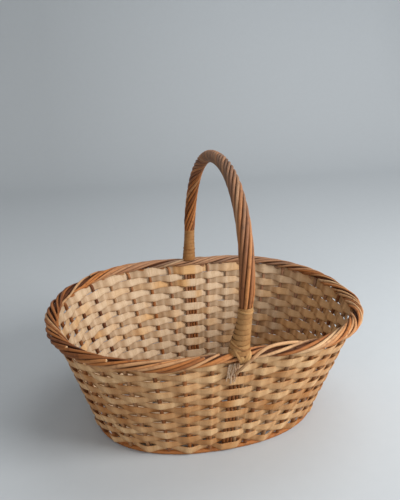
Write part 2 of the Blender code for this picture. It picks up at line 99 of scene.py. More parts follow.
# Tails on the border: how many stakes they pass, fewer at the right end, how unevenly they lie, and
# how proud a cut one is. The rod inside is darkened with painted shade, and closes the gaps between them
TAIL_STAKES = 3.6
TAIL_STAKES_LESS = 0.9
TAIL_SWING = 0.10
TAIL_WIDE = (-0.0001, 0.0006)
TAIL_TALL = (0.0, 0.0005)
TAIL_POINTS = 34
CUT_PROUD = 0.0010
INNER_ROD_RADIUS = 0.0037
INNER_ROD_DROP = 0.0006
INNER_ROD_SHADE_TONE = 0.05
INNER_ROD_SHADE_DIM = 0.7

# How shaded the stakes and the handle's rods are down in the wall
STAKE_DIM = 0.42
TAIL_DIM = 0.45

# The rod that crosses the border in front of the handle's foot: along, out from and above the rim
CROSS_ROD_ROUTE = (
    (-0.007, 0.0030, -0.022), (-0.003, 0.0074, -0.015), (0.003, 0.0110, -0.007), (0.011, 0.0116, 0),
    (0.020, 0.0092, 0.0054), (0.030, 0.0050, 0.0078), (0.046, 0.0005, 0.0074), (0.062, -0.0030, 0.0050),
    (0.078, -0.0044, 0),
)

# The two bindings. Leg: height, radius, flare and lean at the foot. Skein: the turn it starts at, its tone
# and its seed. Rings, the turns that stand out: level, slope, half width, tone and darkness of the edges
BINDINGS = (
    (
        "binding_front", (0.0495, 0.0073, 0.0038, -0.0030), (-0.6, 0.42, 60),
        ((0.0447, 0.0004, 0.0012, 0.85, 0.15), (0.0044, 0.0028, 0.0007, 0.0, 1.0)),
    ),
    ("binding_back", (0.0440, 0.0074, 0.0020, 0.0), (-0.3, 0.26, 61), ((0.0150, 0.0003, 0.0008, -1.2, 1.0),)),
)
WOUND_THICKNESS = 0.0006
WOUND_EDGE = 0.2

# Frayed fibres under the front binding: places along the rim, how far out, and how high they reach
FIBRE_PLACES = np.linspace(-0.0135, -0.0030, 9)
FIBRE_OUT = 0.0044
FIBRE_TOP = 0.93
FIBRE_BOTTOM = (0.72, 0.84)

# Form of the oval, as in the frame
RIM_HALF_LENGTH = 0.200
RIM_HALF_WIDTH = 0.166
RIM_HEIGHT = 0.160
RIM_SQUARENESS = 2.30
END_DIP = 0.007
FOOT_HALF_LENGTH = 0.1475
FOOT_HALF_WIDTH = 0.1045
FOOT_SQUARENESS = 2.23
DRAW_IN = 0.012
DRAW_IN_REACH = 0.058
STAKE_COUNT = 36
STAKE_RADIUS = 0.0019
FRONT_STATION = 27
BACK_STATION = 9
ROW_COUNT = 16
STRIP_THICKNESS = 0.0011
GAP = 0.0003
BORDER_HALF_WIDTH = 0.0062
BORDER_HALF_HEIGHT = 0.0040
BORDER_SHIFT_OUT = 0.0018
LANE_FROM = math.radians(-70)
LANE_TO = math.radians(248)
FOOT_RADIUS = 0.0030
BUNDLE_PITCH = 0.0044
FRONT_FOOT_X = 0.002
BACK_FOOT_X = 0.014
HANDLE_LEAN = 0.009
HANDLE_TOP = 0.336
HANDLE_BULGE = 0.0032
HANDLE_BULGE_HEIGHT = 0.050
HANDLE_SQUARENESS = 2.16
HANDLE_RADIUS = 0.0086
LEG_CLEARANCE = 0.0012
SKEIN_THICKNESS = 0.0010
CROSS_STICKS = (-0.0370, -0.0185, 0, 0.0185, 0.0370)
CROSS_STICK_RADIUS = 0.0024
LONG_STICK_RADIUS = 0.0021
LONG_STICKS_RIGHT = (-0.0135, -0.0045, 0.0045, 0.0135)
LONG_STICKS_LEFT = (-0.0135, -0.0045, 0.0045)
LONG_STICK_FAN = 0.055
BASE_PITCH = 0.0103
BASE_START = 0.47
BASE_EASE = 0.0005
FOOT_FLAT = 0.0003
FOOT_ROD_TURNS = (0.7305, 1.7355)
FOOT_ROD_SLIM = 0.93
FOOT_ROD_LAP = 0.0004

# Sections of the flat pieces: places as shares of half the width, and depths as shares of the thickness
TAPE_PLACES = np.array([-1, -0.9, -0.5, 0.5, 0.9, 1, 0.9, 0, -0.9])
TAPE_DEPTHS = np.array([0.0, 0.28, 0.42, 0.42, 0.28, 0.0, -0.3, -0.35, -0.3])
STRIP_LEVELS = np.array([-1, -0.93, -0.62, 0, 0.62, 0.93, 1])
STRIP_CROWN = np.array([0.30, 0.78, 0.98, 1.10, 0.98, 0.78, 0.30]) / 2
STRIP_HOLLOW = np.array([0.30, 0.80, 0.88, 0.82, 0.88, 0.80, 0.30]) / 2
STRIP_PLACES = np.concatenate([STRIP_LEVELS, STRIP_LEVELS[::-1]])
STRIP_DEPTHS = np.concatenate([STRIP_CROWN, -STRIP_HOLLOW[::-1]])
BASE_STRIP_PLACES = np.array([-1, -0.9, 0, 0.9, 1, 0.9, 0, -0.9])
BASE_STRIP_DEPTHS = np.array([0, 0.9, 1, 0.9, 0, -0.9, -1, -0.9]) / 2

# Rods: bud scars, cut tips, and where the shade starts on the side that lies against other rods
KNOT_REACH = 0.0022
KNOT_SWELL = 0.07
KNOT_SPACING = (0.7, 1.3)
TIP_LENGTH = 0.28
TIP_TAPER = 0.72
SHADE_START = 0.66
SHADE_RANGE = 0.72
FIRST_SIDE = np.array([0.31, 0.23, 0.92])

# Small irregularities of the weave: waves round a row, and their size
LIFT_NOISE = (40, 0.00035)
TILT_NOISE = (30, 0.08)
WIDTH_NOISE = (40, 0.045)
TONE_NOISE = (34, 0.42)
SIDE_NOISE = (0.94, 1.08)

# Strips in a row, steps drawn together at the stakes, and how the first and the last row lie apart
STRIPS_PER_ROW = 5
STEP_GATHER = 0.035
FIRST_ROW_DROP = 0.0015
FIRST_ROW_OUT = 0.0012
LAST_ROW_LIFT = 0.0017
LAST_ROW_WIDER = 0.0014
LAST_ROW_GOLDEN = (0.212, 0.262)

# Shade on a strip as it passes through the wall, outside and inside, and along its edges
PASSING_SHADE = 0.50
PASSING_SHADE_INSIDE = 0.22
ENTERING_SHADE = 0.42
EDGE_SHADE = ((0.5, 0), (0.93, 0.22), (1, 0.7))

# Where the grain starts on the UV map, and how far it is moved from row to row
GRAIN_START = 0.02
GRAIN_SHIFT = 3

# How much darker than its colour each willow is along its fibres, and in its shade
STRIP_FIBRES, STRIP_SHADE = (0.72, 0.62, 0.50), (0.50, 0.36, 0.24)
ROD_FIBRES, ROD_SHADE = (0.50, 0.42, 0.38), (0.21, 0.13, 0.09)
SKEIN_FIBRES = (0.62, 0.50, 0.40)
SPECULAR = 0.25
BUMP_HEIGHT = 0.0004
PIECE_SPREAD = 37.0

# The floor runs back to a rounded corner and up a wall; near the camera it is darker with painted shade
FLOOR_HALF = 8
FLOOR_SHIFT = -6.6
CORNER_RADIUS = 0.9
BACKDROP_RISE = 3
FLOOR_MERGE = 1e-5
NEAR_PAINTED_SHADE = (0.74, 0.745, 0.755)
PAPER_PALER = (1.04, 1.04, 1.04)

# Lamps: name, place, aim, size, share of the key light's power, and colour
LAMPS = (
    ("key", (1.05, -0.80, 0.85), (0, 0, 0.1), 0.7, 1.0, (1.0, 0.985, 0.96)),
    ("front", (-0.3, -1.7, 0.7), (0, 0, 0.1), 1.2, 0.28, (1.0, 0.99, 0.98)),
    ("top", (0.5, 0.2, 1.9), (0, 0, 0), 1.2, 0.40, (1, 1, 1)),
)
SKY_COLOUR = (1.0, 0.985, 0.965, 1)

# The camera, as it was fitted to the photograph
CAMERA_ASIDE = math.radians(-13.794)
CAMERA_RAISED = math.radians(19.222)
CAMERA_ROLL = math.radians(-0.64)
CAMERA_DISTANCE = 0.6997
CAMERA_AIM = (-0.0066, 0, 0.2164)
CAMERA_SHIFT = (0.00206, 0.00994)

# Sizes that follow from the others
LONG_STICK_BEND = CROSS_STICKS[-1] + 2 * CROSS_STICK_RADIUS
BASE_LIFT = CROSS_STICK_RADIUS + 2 * GAP + STRIP_THICKNESS / 2 + BASE_EASE
BASE_LEVEL = BASE_LIFT + STRIP_THICKNESS / 2 + FOOT_FLAT
WEAVE_REACH = STAKE_RADIUS + STRIP_THICKNESS / 2 + GAP

BORDER_REACH = BORDER_SHIFT_OUT + BORDER_HALF_WIDTH + STAKE_RADIUS
BORDER_DROP = BORDER_HALF_HEIGHT + STAKE_RADIUS
WALL_HEIGHT = RIM_HEIGHT - BORDER_DROP - FOOT_RADIUS
WALL_BOTTOM = 2 * FOOT_RADIUS + 2 * GAP
WALL_TOP = RIM_HEIGHT - 2 * BORDER_DROP

# How finely the way round is measured, and how near two corners of a mesh are one
TRACK_POINTS = 1440
TRACK_STEP = 1 / TRACK_POINTS
MERGE_DISTANCE = 1e-7


# The wall and the border as places in space

def superellipse(half_length, half_width, squareness, angle):
    """A place on an oval whose corners are fuller than an ellipse's."""
    c, s = np.cos(angle), np.sin(angle)
    power = 2 / squareness
    return half_length * np.sign(c) * np.abs(c) ** power, half_width * np.sign(s) * np.abs(s) ** power


def blend(low, high, share):
    return low + (high - low) * share


def handle_x(y):
    """Where the handle's plane crosses the rim."""
    return blend(FRONT_FOOT_X, BACK_FOOT_X, (y / RIM_HALF_WIDTH + 1) / 2)


def wall_line(angle, rise):
    """The middle of the wall in plan, at a share of its height."""
    half_length = blend(FOOT_HALF_LENGTH - FOOT_RADIUS, RIM_HALF_LENGTH - BORDER_REACH, rise)
    half_width = blend(FOOT_HALF_WIDTH - FOOT_RADIUS, RIM_HALF_WIDTH - BORDER_REACH, rise)
    x, y = superellipse(half_length, half_width, blend(FOOT_SQUARENESS, RIM_SQUARENESS, rise), angle)
    drawn = DRAW_IN * rise * np.exp(-(((x - handle_x(y)) / DRAW_IN_REACH) ** 2))
    return x, y - np.sign(y) * drawn


ANGLES = np.linspace(0, 2 * math.pi, TRACK_POINTS + 1)
RIM_X, RIM_Y = wall_line(ANGLES, 1.0)
RIM_STEPS = np.hypot(np.diff(RIM_X), np.diff(RIM_Y))
RIM_LENGTH = RIM_STEPS.sum()
TURNS = np.concatenate([[0], np.cumsum(RIM_STEPS)]) / RIM_LENGTH
RIM_ANGLES = np.unwrap(np.arctan2(RIM_Y, RIM_X)) / (2 * math.pi)


def plan(turn, rise):
    return wall_line(np.interp(np.mod(turn, 1), TURNS, ANGLES), rise)


def wall_point(turn, rise, out=0.0, up=0.0, along=0.0):
    """A place on the wall: turns round it, a share up it, then moved out, up and along it."""
    x, y = plan(turn, rise)
    x_after, y_after = plan(turn + TRACK_STEP, rise)
    x_before, y_before = plan(turn - TRACK_STEP, rise)
    dx, dy = x_after - x_before, y_after - y_before
    length = np.hypot(dx, dy)
    dx, dy = dx / length, dy / length
    height = WALL_HEIGHT - END_DIP * (plan(turn, 1.0)[0] / RIM_HALF_LENGTH) ** 2
    z = FOOT_RADIUS + height * rise + up
    return np.array([x + dy * out + dx * along, y - dx * out + dy * along, z])


def station_turn(side):
    """The turn at which the handle's foot stands, on the front (-1) or the back (1)."""
    chosen = np.sign(RIM_Y) == side
    offset = RIM_X[chosen] - handle_x(RIM_Y[chosen])
    order = np.argsort(offset)
    return float(np.interp(0, offset[order], TURNS[chosen][order]))


FRONT_TURN = station_turn(-1)
BACK_TURN = station_turn(1)


def stake_turn(number):
    """Stakes are even between the two feet of the handle, where one stands in the middle."""
    numbers = [FRONT_STATION - STAKE_COUNT, BACK_STATION, FRONT_STATION, BACK_STATION + STAKE_COUNT]
    turns = [FRONT_TURN - 1, BACK_TURN, FRONT_TURN, BACK_TURN + 1]
    return float(np.interp(number, numbers, turns))


def is_station(number):
    return number % STAKE_COUNT in (FRONT_STATION, BACK_STATION)


def rise_at(height):
    """The share of the wall's height that this height is, at the handle."""
    return (height - FOOT_RADIUS) / WALL_HEIGHT


def leg_foot(turn):
    """Where a leg of the handle stands, just above the border."""
    return wall_point(turn, 1.0, BORDER_SHIFT_OUT, BORDER_DROP + LEG_CLEARANCE)


def bow_point(share):
    """The middle of the bow, from the top of the front leg to the top of the back leg."""
    foot = leg_foot(FRONT_TURN if share < 1 / 2 else BACK_TURN)
    leg_top = RIM_HEIGHT + HANDLE_BULGE_HEIGHT
    along, over = superellipse(
        abs(foot[1]) + HANDLE_BULGE, HANDLE_TOP - leg_top, HANDLE_SQUARENESS, math.pi * share
    )
    z = leg_top + over
    x = blend(leg_foot(FRONT_TURN)[0], leg_foot(BACK_TURN)[0], (1 - math.cos(math.pi * share)) / 2)
    return np.array([x + HANDLE_LEAN * (z - foot[2]) / (HANDLE_TOP - foot[2]), -along, z])


# The base in plan

def long_ends(lanes, side):
    """From the last cross stick to the edge, on the right (1) or the left (-1), fanned out."""
    fan = np.linspace(-LONG_STICK_FAN, LONG_STICK_FAN, len(lanes))
    return [((side * LONG_STICK_BEND, lane), (side * FOOT_HALF_LENGTH, y)) for lane, y in zip(lanes, fan)]


def cross_ends(side):
    """From the middle to the edge, on the back (1) or the front (-1)."""
    return [((x, 0), (x, side * FOOT_HALF_WIDTH)) for x in CROSS_STICKS]


def crossing(end, inset):
    """Where a stick's end passes the oval this far inside the foot rod."""
    start, stop = np.array(end)
    inside = 2 * FOOT_RADIUS + GAP + inset
    shares = np.linspace(0, 1, TRACK_POINTS)
    x, y = blend(start[:, None], stop[:, None], shares)
    level = np.abs(x / (FOOT_HALF_LENGTH - inside)) ** FOOT_SQUARENESS
    level += np.abs(y / (FOOT_HALF_WIDTH - inside)) ** FOOT_SQUARENESS
    return blend(start, stop, np.interp(1, level, shares))


def way_round():
    """Each end that the base's strip passes, counter-clockwise, and whether a stick lies there."""
    right, left = long_ends(LONG_STICKS_RIGHT, 1), long_ends(LONG_STICKS_LEFT, -1)
    groups = [right[2:], cross_ends(1)[::-1], left[::-1], cross_ends(-1), right[:2]]
    way = [(end, True) for end in groups[0]]
    for before, group in zip(groups, groups[1:]):
        way.append((tuple(np.array([before[-1], group[0]]).mean(0)), False))
        way += [(end, True) for end in group]
    return way


# Lines through space that rods and strips follow

def lengths_along(points):
    steps = np.linalg.norm(np.diff(points, axis=0), axis=1)
    return np.concatenate([[0], np.cumsum(steps)])


def even_line(points, count):
    """The same line with this many evenly spaced points."""
    points = np.asarray(points, float)
    along = lengths_along(points)
    places = np.linspace(0, along[-1], count)
    return np.stack([np.interp(places, along, points[:, axis]) for axis in range(3)], 1)


def soften(points, rounds):
    """Cuts the corners of an open line and keeps its two ends."""
    points = np.asarray(points, float)
    for _ in range(rounds):
        near = points[:-1] * 0.75 + points[1:] * 0.25
        far = points[:-1] * 0.25 + points[1:] * 0.75
        cut = np.stack([near, far], 1).reshape(-1, 3)
        points = np.concatenate([points[:1], cut, points[-1:]])
    return points


def unit(vectors):
    return vectors / np.linalg.norm(vectors, axis=-1, keepdims=True)


def carried_sides(points, first):
    """A side direction that is carried along a line without twisting, and the one across it."""
    ahead = unit(np.gradient(points, axis=0))
    sides = [unit(first - ahead[0] * np.dot(first, ahead[0]))]
    for direction in ahead[1:]:
        side = sides[-1] - direction * np.dot(sides[-1], direction)
        sides.append(unit(side))
    sides = np.array(sides)
    return sides, np.cross(ahead, sides)


def slow_noise(dice, count, waves, size):
    """A few gentle waves along a piece, as a hand leaves them."""
    places = np.linspace(0, 2 * math.pi, count)
    total = np.zeros(count)
    for wave in range(1, waves + 1):
        total += np.sin(wave * places + dice.uniform(0, 2 * math.pi)) * dice.uniform(-1, 1)
    return total * size / math.sqrt(waves)


# Meshes

def section_rings(line, across, outward, places, depths, half):
    """The section of a flat piece at each point of its line, this much to each side of it."""
    return (
        line[:, None] + across[:, None] * (places[None] * half[:, None])[..., None]
        + outward[:, None] * depths[None, :, None]
    )


def section_widths(places, half, start):
    """Where each place of a section lies across the UV map."""
    return np.append(places, places[0]) * half + start


def add_skin(bm, rings, along, across, marks, round_trip=False):
    """Wraps a grid round a line of equal rings. Marks are values that the materials read."""
    rows, columns = rings.shape[:2]
    bands = rows if round_trip else rows - 1
    uv = bm.loops.layers.uv.get("UVMap") or bm.loops.layers.uv.new("UVMap")
    for name in marks:
        if name not in bm.verts.layers.float:
            bm.verts.layers.float.new(name)
    layers = {name: bm.verts.layers.float[name] for name in marks}
    made = bmesh.ops.create_grid(bm, x_segments=columns, y_segments=bands, size=1)["verts"]
    tables = {name: np.broadcast_to(values, (rows, columns)) for name, values in marks.items()}
    spots = {}
    for index, vert in enumerate(made):
        row, column = divmod(index, columns + 1)
        vert.co = rings[row % rows, column % columns]
        for name, layer in layers.items():
            vert[layer] = tables[name][row % rows, column % columns]
        spots[vert] = (along[row], across[column])
    faces = {face for vert in made for face in vert.link_faces}
    for face in faces:
        face.smooth = True
        for loop in face.loops:
            loop[uv].uv = spots[loop.vert]
    bmesh.ops.remove_doubles(bm, verts=made, dist=MERGE_DISTANCE)


def close_ends(bm):
    edges = [edge for edge in bm.edges if edge.is_boundary]
    if edges:
        bmesh.ops.holes_fill(bm, edges=edges, sides=0)


def add_rod(bm, points, radii, tone, dice, sides=10, knot_pitch=0.075, bleached=0.0, hub=None, dim=0.0):
    """A round rod with bud scars, and softly cut ends.

    Where it lies against others round a hub line, the side towards the hub is marked as shaded.
    """
    points = np.asarray(points, float)
    radii = np.array(np.broadcast_to(radii, len(points)), float)
    along = lengths_along(points)
    knots = np.zeros(len(points))
    place = dice.uniform(0, knot_pitch)
    while place < along[-1]:
        knots += np.exp(-(((along - place) / KNOT_REACH) ** 2))
        place += knot_pitch * dice.uniform(*KNOT_SPACING)
    radii = radii * (1 + KNOT_SWELL * knots)
    side, over = carried_sides(points, FIRST_SIDE)
    turn = np.linspace(0, 2 * math.pi, sides, endpoint=False)
    ring = np.cos(turn)[None, :, None] * side[:, None] + np.sin(turn)[None, :, None] * over[:, None]
    tip = radii[-1] * TIP_LENGTH
    ahead = unit(points[-1] - points[-2])
    rings = np.concatenate([
        points[None, :1] + ring[:1] * radii[0] * TIP_TAPER,
        points[:, None] + ring * radii[:, None, None],
        points[None, -1:] + ahead * tip + ring[-1:] * radii[-1] * TIP_TAPER,
    ])
    shade = np.zeros(ring.shape[:2])
    if hub is not None:
        facing = (ring * unit(points - hub)[:, None]).sum(2)
        shade = np.nan_to_num(np.clip((SHADE_START - facing) / SHADE_RANGE, 0, 1))
    # dim darkens the whole rod through the shade mark: painted shade for stakes, tails, sticks and inner rods
    # that lie down in the wall or among others, and wear on the worn handle and the faded border
    shade = 1 - (1 - shade) * (1 - np.broadcast_to(dim, len(points))[:, None])
    along = np.concatenate([[along[0] - tip], along, [along[-1] + tip]])
    cut = np.pad(np.zeros(len(points)), 1, constant_values=1)
    bleached = np.pad(np.broadcast_to(bleached, len(points)), 1, mode="edge")
    table = {
        "tone": tone, "cut": cut[:, None], "knot": np.pad(knots, 1)[:, None], "bleached": bleached[:, None],
        "shade": np.pad(shade, ((1, 1), (0, 0))),
    }
    across = np.linspace(0, 2 * math.pi * radii.mean(), sides + 1)
    add_skin(bm, rings, along + dice.uniform(0, 9), across, table)


def add_tape(bm, centre, widthwise, outward, half, tone, edge=0.4, thickness=SKEIN_THICKNESS):
    """A flat skein along a line, a little crowned; widthwise and outward say how it lies."""
    half = np.broadcast_to(half, len(centre))
    rings = section_rings(centre, widthwise, outward, TAPE_PLACES, TAPE_DEPTHS * thickness, half)
    edges = np.where(np.abs(TAPE_PLACES) > 0.85, edge, 0.0)
    tones = np.broadcast_to(tone, len(centre))[:, None]
    across = section_widths(TAPE_PLACES, half.mean(), GRAIN_START / 2)
    add_skin(bm, rings, lengths_along(centre), across, {"tone": tones, "edge": edges[None]})


def finish_mesh(name, bm, material, replaced):
    """Makes the object, rides it on the frame and hides the CAD node it stands for."""
    close_ends(bm)
    bmesh.ops.recalc_face_normals(bm, faces=bm.faces)
    obj = link_mesh(name, bm, material)
    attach(obj, "root")
    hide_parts(replaced)


def link_mesh(name, bm, material):
    mesh = bpy.data.meshes.new(name)
    bm.to_mesh(mesh)
    bm.free()
    mesh.materials.append(material)
    obj = bpy.data.objects.new(name, mesh)
    bpy.context.scene.collection.objects.link(obj)
    return obj


# Materials

def new_node(tree, kind, **settings):
    """A node with its properties; a name or a number after in_ stands for a socket."""
    made = tree.nodes.new(kind)
    for name, value in settings.items():
        if name.startswith("in_"):
            socket = name[3:]
            made.inputs[int(socket) if socket.isdigit() else socket.replace("_", " ")].default_value = value
        else:
            setattr(made, name, value)
    return made


def feed(tree, socket, value):
    """Links another socket to this one, or sets it to a plain number or colour."""
    if isinstance(value, bpy.types.NodeSocket):
        tree.links.new(value, socket)
    elif isinstance(value, (int, float)):
        socket.default_value = value
    else:
        socket.default_value = (*value, 1)


def mix_colour(tree, share, low, high, kind="MIX"):
    """A mix of two colours, each a socket or a plain colour."""
    mix = new_node(tree, "ShaderNodeMix", data_type="RGBA", blend_type=kind)
    for socket, value in ((mix.inputs["Factor"], share), (mix.inputs[6], low), (mix.inputs[7], high)):
        feed(tree, socket, value)
    return mix.outputs[2]


def tinted(tree, colour, tint):
    return mix_colour(tree, 1.0, colour, tint, "MULTIPLY")


def ranged(tree, socket, low, high, to_low=0.0, to_high=1.0):
    made = new_node(tree, "ShaderNodeMapRange", in_1=low, in_2=high, in_3=to_low, in_4=to_high)
    tree.links.new(socket, made.inputs["Value"])
    return made.outputs["Result"]


def times(tree, first, second):
    made = new_node(tree, "ShaderNodeMath", operation="MULTIPLY")
    feed(tree, made.inputs[0], first)
    feed(tree, made.inputs[1], second)
    return made.outputs[0]


def mark(tree, name):
    return new_node(tree, "ShaderNodeAttribute", attribute_name=name).outputs["Fac"]


def lay_out(tree):
    """Puts each node in a column to the left of all the nodes that it feeds."""
    columns = {node.name: 0 for node in tree.nodes}
    for _ in tree.nodes:
        for link in tree.links:
            source, target = link.from_node.name, link.to_node.name
            columns[source] = max(columns[source], columns[target] + 1)
    filled = {}
    for node in tree.nodes:
        column = columns[node.name]
        node.location = (-220 * column, -260 * filled.get(column, 0))
        filled[column] = filled.get(column, 0) + 1


def grain_group():
    """Fibres along a piece, soft blotches across it, and a height for both."""
    if "willow_grain" in bpy.data.node_groups:
        return bpy.data.node_groups["willow_grain"]
    tree = bpy.data.node_groups.new("willow_grain", "ShaderNodeTree")
    for name, default in (("Fibre Length", 60), ("Fibre Width", 1800), ("Blotch Scale", 60)):
        socket = tree.interface.new_socket(name, in_out="INPUT", socket_type="NodeSocketFloat")
        socket.default_value = default
    for name in ("Fibres", "Blotches", "Height"):
        tree.interface.new_socket(name, in_out="OUTPUT", socket_type="NodeSocketFloat")
    start = new_node(tree, "NodeGroupInput")
    end = new_node(tree, "NodeGroupOutput")
    uv = new_node(tree, "ShaderNodeUVMap", uv_map="UVMap")
    split = new_node(tree, "ShaderNodeSeparateXYZ")
    tree.links.new(uv.outputs["UV"], split.inputs[0])
    apart = times(tree, mark(tree, "tone"), PIECE_SPREAD)
    for name, scale_u, scale_v in (
        ("Fibres", "Fibre Length", "Fibre Width"), ("Blotches", "Blotch Scale", "Blotch Scale")
    ):
        place = new_node(tree, "ShaderNodeCombineXYZ")
        feed(tree, place.inputs["X"], times(tree, split.outputs["X"], start.outputs[scale_u]))
        feed(tree, place.inputs["Y"], times(tree, split.outputs["Y"], start.outputs[scale_v]))
        feed(tree, place.inputs["Z"], apart)
        noise = new_node(tree, "ShaderNodeTexNoise", in_Scale=1.0, in_Detail=3.0, in_Roughness=0.6)
        tree.links.new(place.outputs[0], noise.inputs["Vector"])
        feed(tree, end.inputs[name], ranged(tree, noise.outputs["Fac"], 0.32, 0.68))
    fibres, blotches = (end.inputs[name].links[0].from_socket for name in ("Fibres", "Blotches"))
    height = new_node(tree, "ShaderNodeMath", operation="MULTIPLY_ADD", in_1=0.35)
    tree.links.new(blotches, height.inputs[0])
    tree.links.new(fibres, height.inputs[2])
    tree.links.new(height.outputs[0], end.inputs["Height"])
    lay_out(tree)
    return tree


def willow_material(name, colour, fibre_length, fibre_width, blotch_scale, roughness, bump):
    """A Principled material over the shared grain; colour is a function that builds it from the grain."""
    if name in bpy.data.materials:
        return bpy.data.materials[name]
    material = bpy.data.materials.new(name)
    material.use_nodes = True
    tree = material.node_tree
    shader = tree.nodes["Principled BSDF"]
    grain = new_node(
        tree, "ShaderNodeGroup", node_tree=grain_group(),
        in_Fibre_Length=fibre_length, in_Fibre_Width=fibre_width, in_Blotch_Scale=blotch_scale,
    )
    tree.links.new(colour(tree, grain), shader.inputs["Base Color"])
    tree.links.new(ranged(tree, grain.outputs["Fibres"], 0, 1, *roughness), shader.inputs["Roughness"])
    relief = new_node(tree, "ShaderNodeBump", in_Strength=bump, in_Distance=BUMP_HEIGHT)
    tree.links.new(grain.outputs["Height"], relief.inputs["Height"])
    tree.links.new(relief.outputs["Normal"], shader.inputs["Normal"])
    shader.inputs["Specular IOR Level"].default_value = SPECULAR
    lay_out(tree)
    return material


def grained(tree, grain, base, darker, fibres, blotches):
    """Darkens the base along fibres and in blotches, each from a level on and up to a share."""
    for name, (level, share) in (("Fibres", fibres), ("Blotches", blotches)):
        base = mix_colour(tree, ranged(tree, grain.outputs[name], level, 1, 0, share), base, darker)
    return base


def strip_material():
    """Split willow: cream where it was split, golden on the side that lay under the bark."""
    colours = bpy.context.scene.basket_colours

    def colour(tree, grain):
        tone = mark(tree, "tone")
        pale = mix_colour(tree, ranged(tree, tone, 0.58, 1.0), colours.cream, colours.golden)
        skin = mix_colour(tree, tone, colours.tan, colours.dark_tan)
        base = mix_colour(tree, mark(tree, "skin"), pale, skin)
        base = grained(tree, grain, base, tinted(tree, base, STRIP_FIBRES), (0.45, 0.55), (0.5, 0.55))
        return mix_colour(tree, mark(tree, "shade"), base, tinted(tree, base, STRIP_SHADE))

    return willow_material("split_willow_face", colour, 35, 2600, 70, (0.48, 0.66), 0.35)


def rod_material():
    """Brown willow rods, some paler, with darker bud scars and pale cut ends."""
    colours = bpy.context.scene.basket_colours

    def colour(tree, grain):
        tone = mark(tree, "tone")
        base = mix_colour(tree, ranged(tree, tone, 0, 0.5), colours.dark_rod, colours.rod)
        base = mix_colour(tree, ranged(tree, tone, 0.5, 1), base, colours.pale_rod)
        darker = tinted(tree, base, ROD_FIBRES)
        base = grained(tree, grain, base, darker, (0.5, 0.6), (0.55, 0.6))
        base = mix_colour(tree, ranged(tree, mark(tree, "knot"), 0.3, 1, 0, 0.75), base, darker)
        base = mix_colour(tree, mark(tree, "bleached"), base, colours.bleached)
        base = mix_colour(tree, mark(tree, "shade"), base, tinted(tree, base, ROD_SHADE))
        return mix_colour(tree, mark(tree, "cut"), base, colours.cut_end)

    return willow_material("willow_bark", colour, 45, 2200, 110, (0.46, 0.66), 0.4)


def skein_material():
    """Flat skein of the bindings, darker along its edges."""
    colours = bpy.context.scene.basket_colours

    def colour(tree, grain):
        base = mix_colour(tree, mark(tree, "tone"), colours.skein, colours.pale_skein)
        darker = tinted(tree, base, SKEIN_FIBRES)
        base = grained(tree, grain, base, darker, (0.5, 0.5), (0.55, 0.4))
        return mix_colour(tree, mark(tree, "edge"), base, darker)

    return willow_material("willow_skein_face", colour, 40, 2600, 90, (0.42, 0.6), 0.35)


def backdrop_material(stage):
    """Pale paper with painted light that brightens it to the right and to the back, and painted shade that
    darkens it near the camera.
    """
    material = bpy.data.materials.new("paper_backdrop")
    material.use_nodes = True
    tree = material.node_tree
    shader = tree.nodes["Principled BSDF"]
    place = new_node(tree, "ShaderNodeTexCoord").outputs["Object"]
    noise = new_node(tree, "ShaderNodeTexNoise", in_Scale=60.0, in_Detail=4.0)
    tree.links.new(place, noise.inputs["Vector"])
    parts = new_node(tree, "ShaderNodeSeparateXYZ")
    tree.links.new(place, parts.inputs[0])
    # Painted light: the paper turns to the paler far colour towards the right and the back
    right = ranged(tree, parts.outputs["X"], -0.2, 1.5)
    far = ranged(tree, parts.outputs["Y"], 0.3, 2.2, 0.35, 1.0)
    base = mix_colour(tree, times(tree, right, far), stage.floor, stage.painted_light_far_wall)
    # Painted shade: the paper is darker near the camera
    near = ranged(tree, parts.outputs["Y"], 0.0, -0.7)
    base = mix_colour(tree, near, base, tinted(tree, base, NEAR_PAINTED_SHADE))
    base = mix_colour(tree, noise.outputs["Fac"], base, tinted(tree, base, PAPER_PALER))
    tree.links.new(base, shader.inputs["Base Color"])
    shader.inputs["Roughness"].default_value = 0.9
    shader.inputs["Specular IOR Level"].default_value = 0.2
    lay_out(tree)
    return material


# Settings

def colour_setting(name, description, default):
    return FloatVectorProperty(
        name=name, description=description, default=default, subtype="COLOR", size=3, min=0, max=1
    )


def length_setting(name, description, default, low, high):
    return FloatProperty(
        name=name, description=description, default=default, min=low, max=high, unit="LENGTH"
    )


def count_setting(name, description, default, low, high):
    return IntProperty(name=name, description=description, default=default, min=low, max=high)


class BasketColours(bpy.types.PropertyGroup):
    """The colours of the willow."""

    cream: colour_setting("Cream", "Split face of a strip", (0.66, 0.502, 0.342))
    golden: colour_setting("Golden", "Split face of a darker strip", (0.68, 0.415, 0.19))
    tan: colour_setting("Tan", "Skin side of a strip", (0.82, 0.545, 0.29))
    dark_tan: colour_setting("Dark tan", "Skin side of a darker strip", (0.50, 0.225, 0.068))
    rod: colour_setting("Rod", "Bark of most rods", (0.46, 0.170, 0.044))
    dark_rod: colour_setting("Dark rod", "Bark of the darkest rods", (0.19, 0.064, 0.021))
    pale_rod: colour_setting("Pale rod", "Bark of the palest rods", (0.60, 0.385, 0.205))
    cut_end: colour_setting("Cut end", "Fresh wood at a cut end", (0.52, 0.345, 0.19))
    bleached: colour_setting("Bleached", "Rods that have lost their bark", (0.62, 0.48, 0.35))
    skein: colour_setting("Skein", "Binding skein", (0.31, 0.142, 0.044))
    pale_skein: colour_setting("Pale skein", "Palest binding skein", (0.50, 0.285, 0.112))


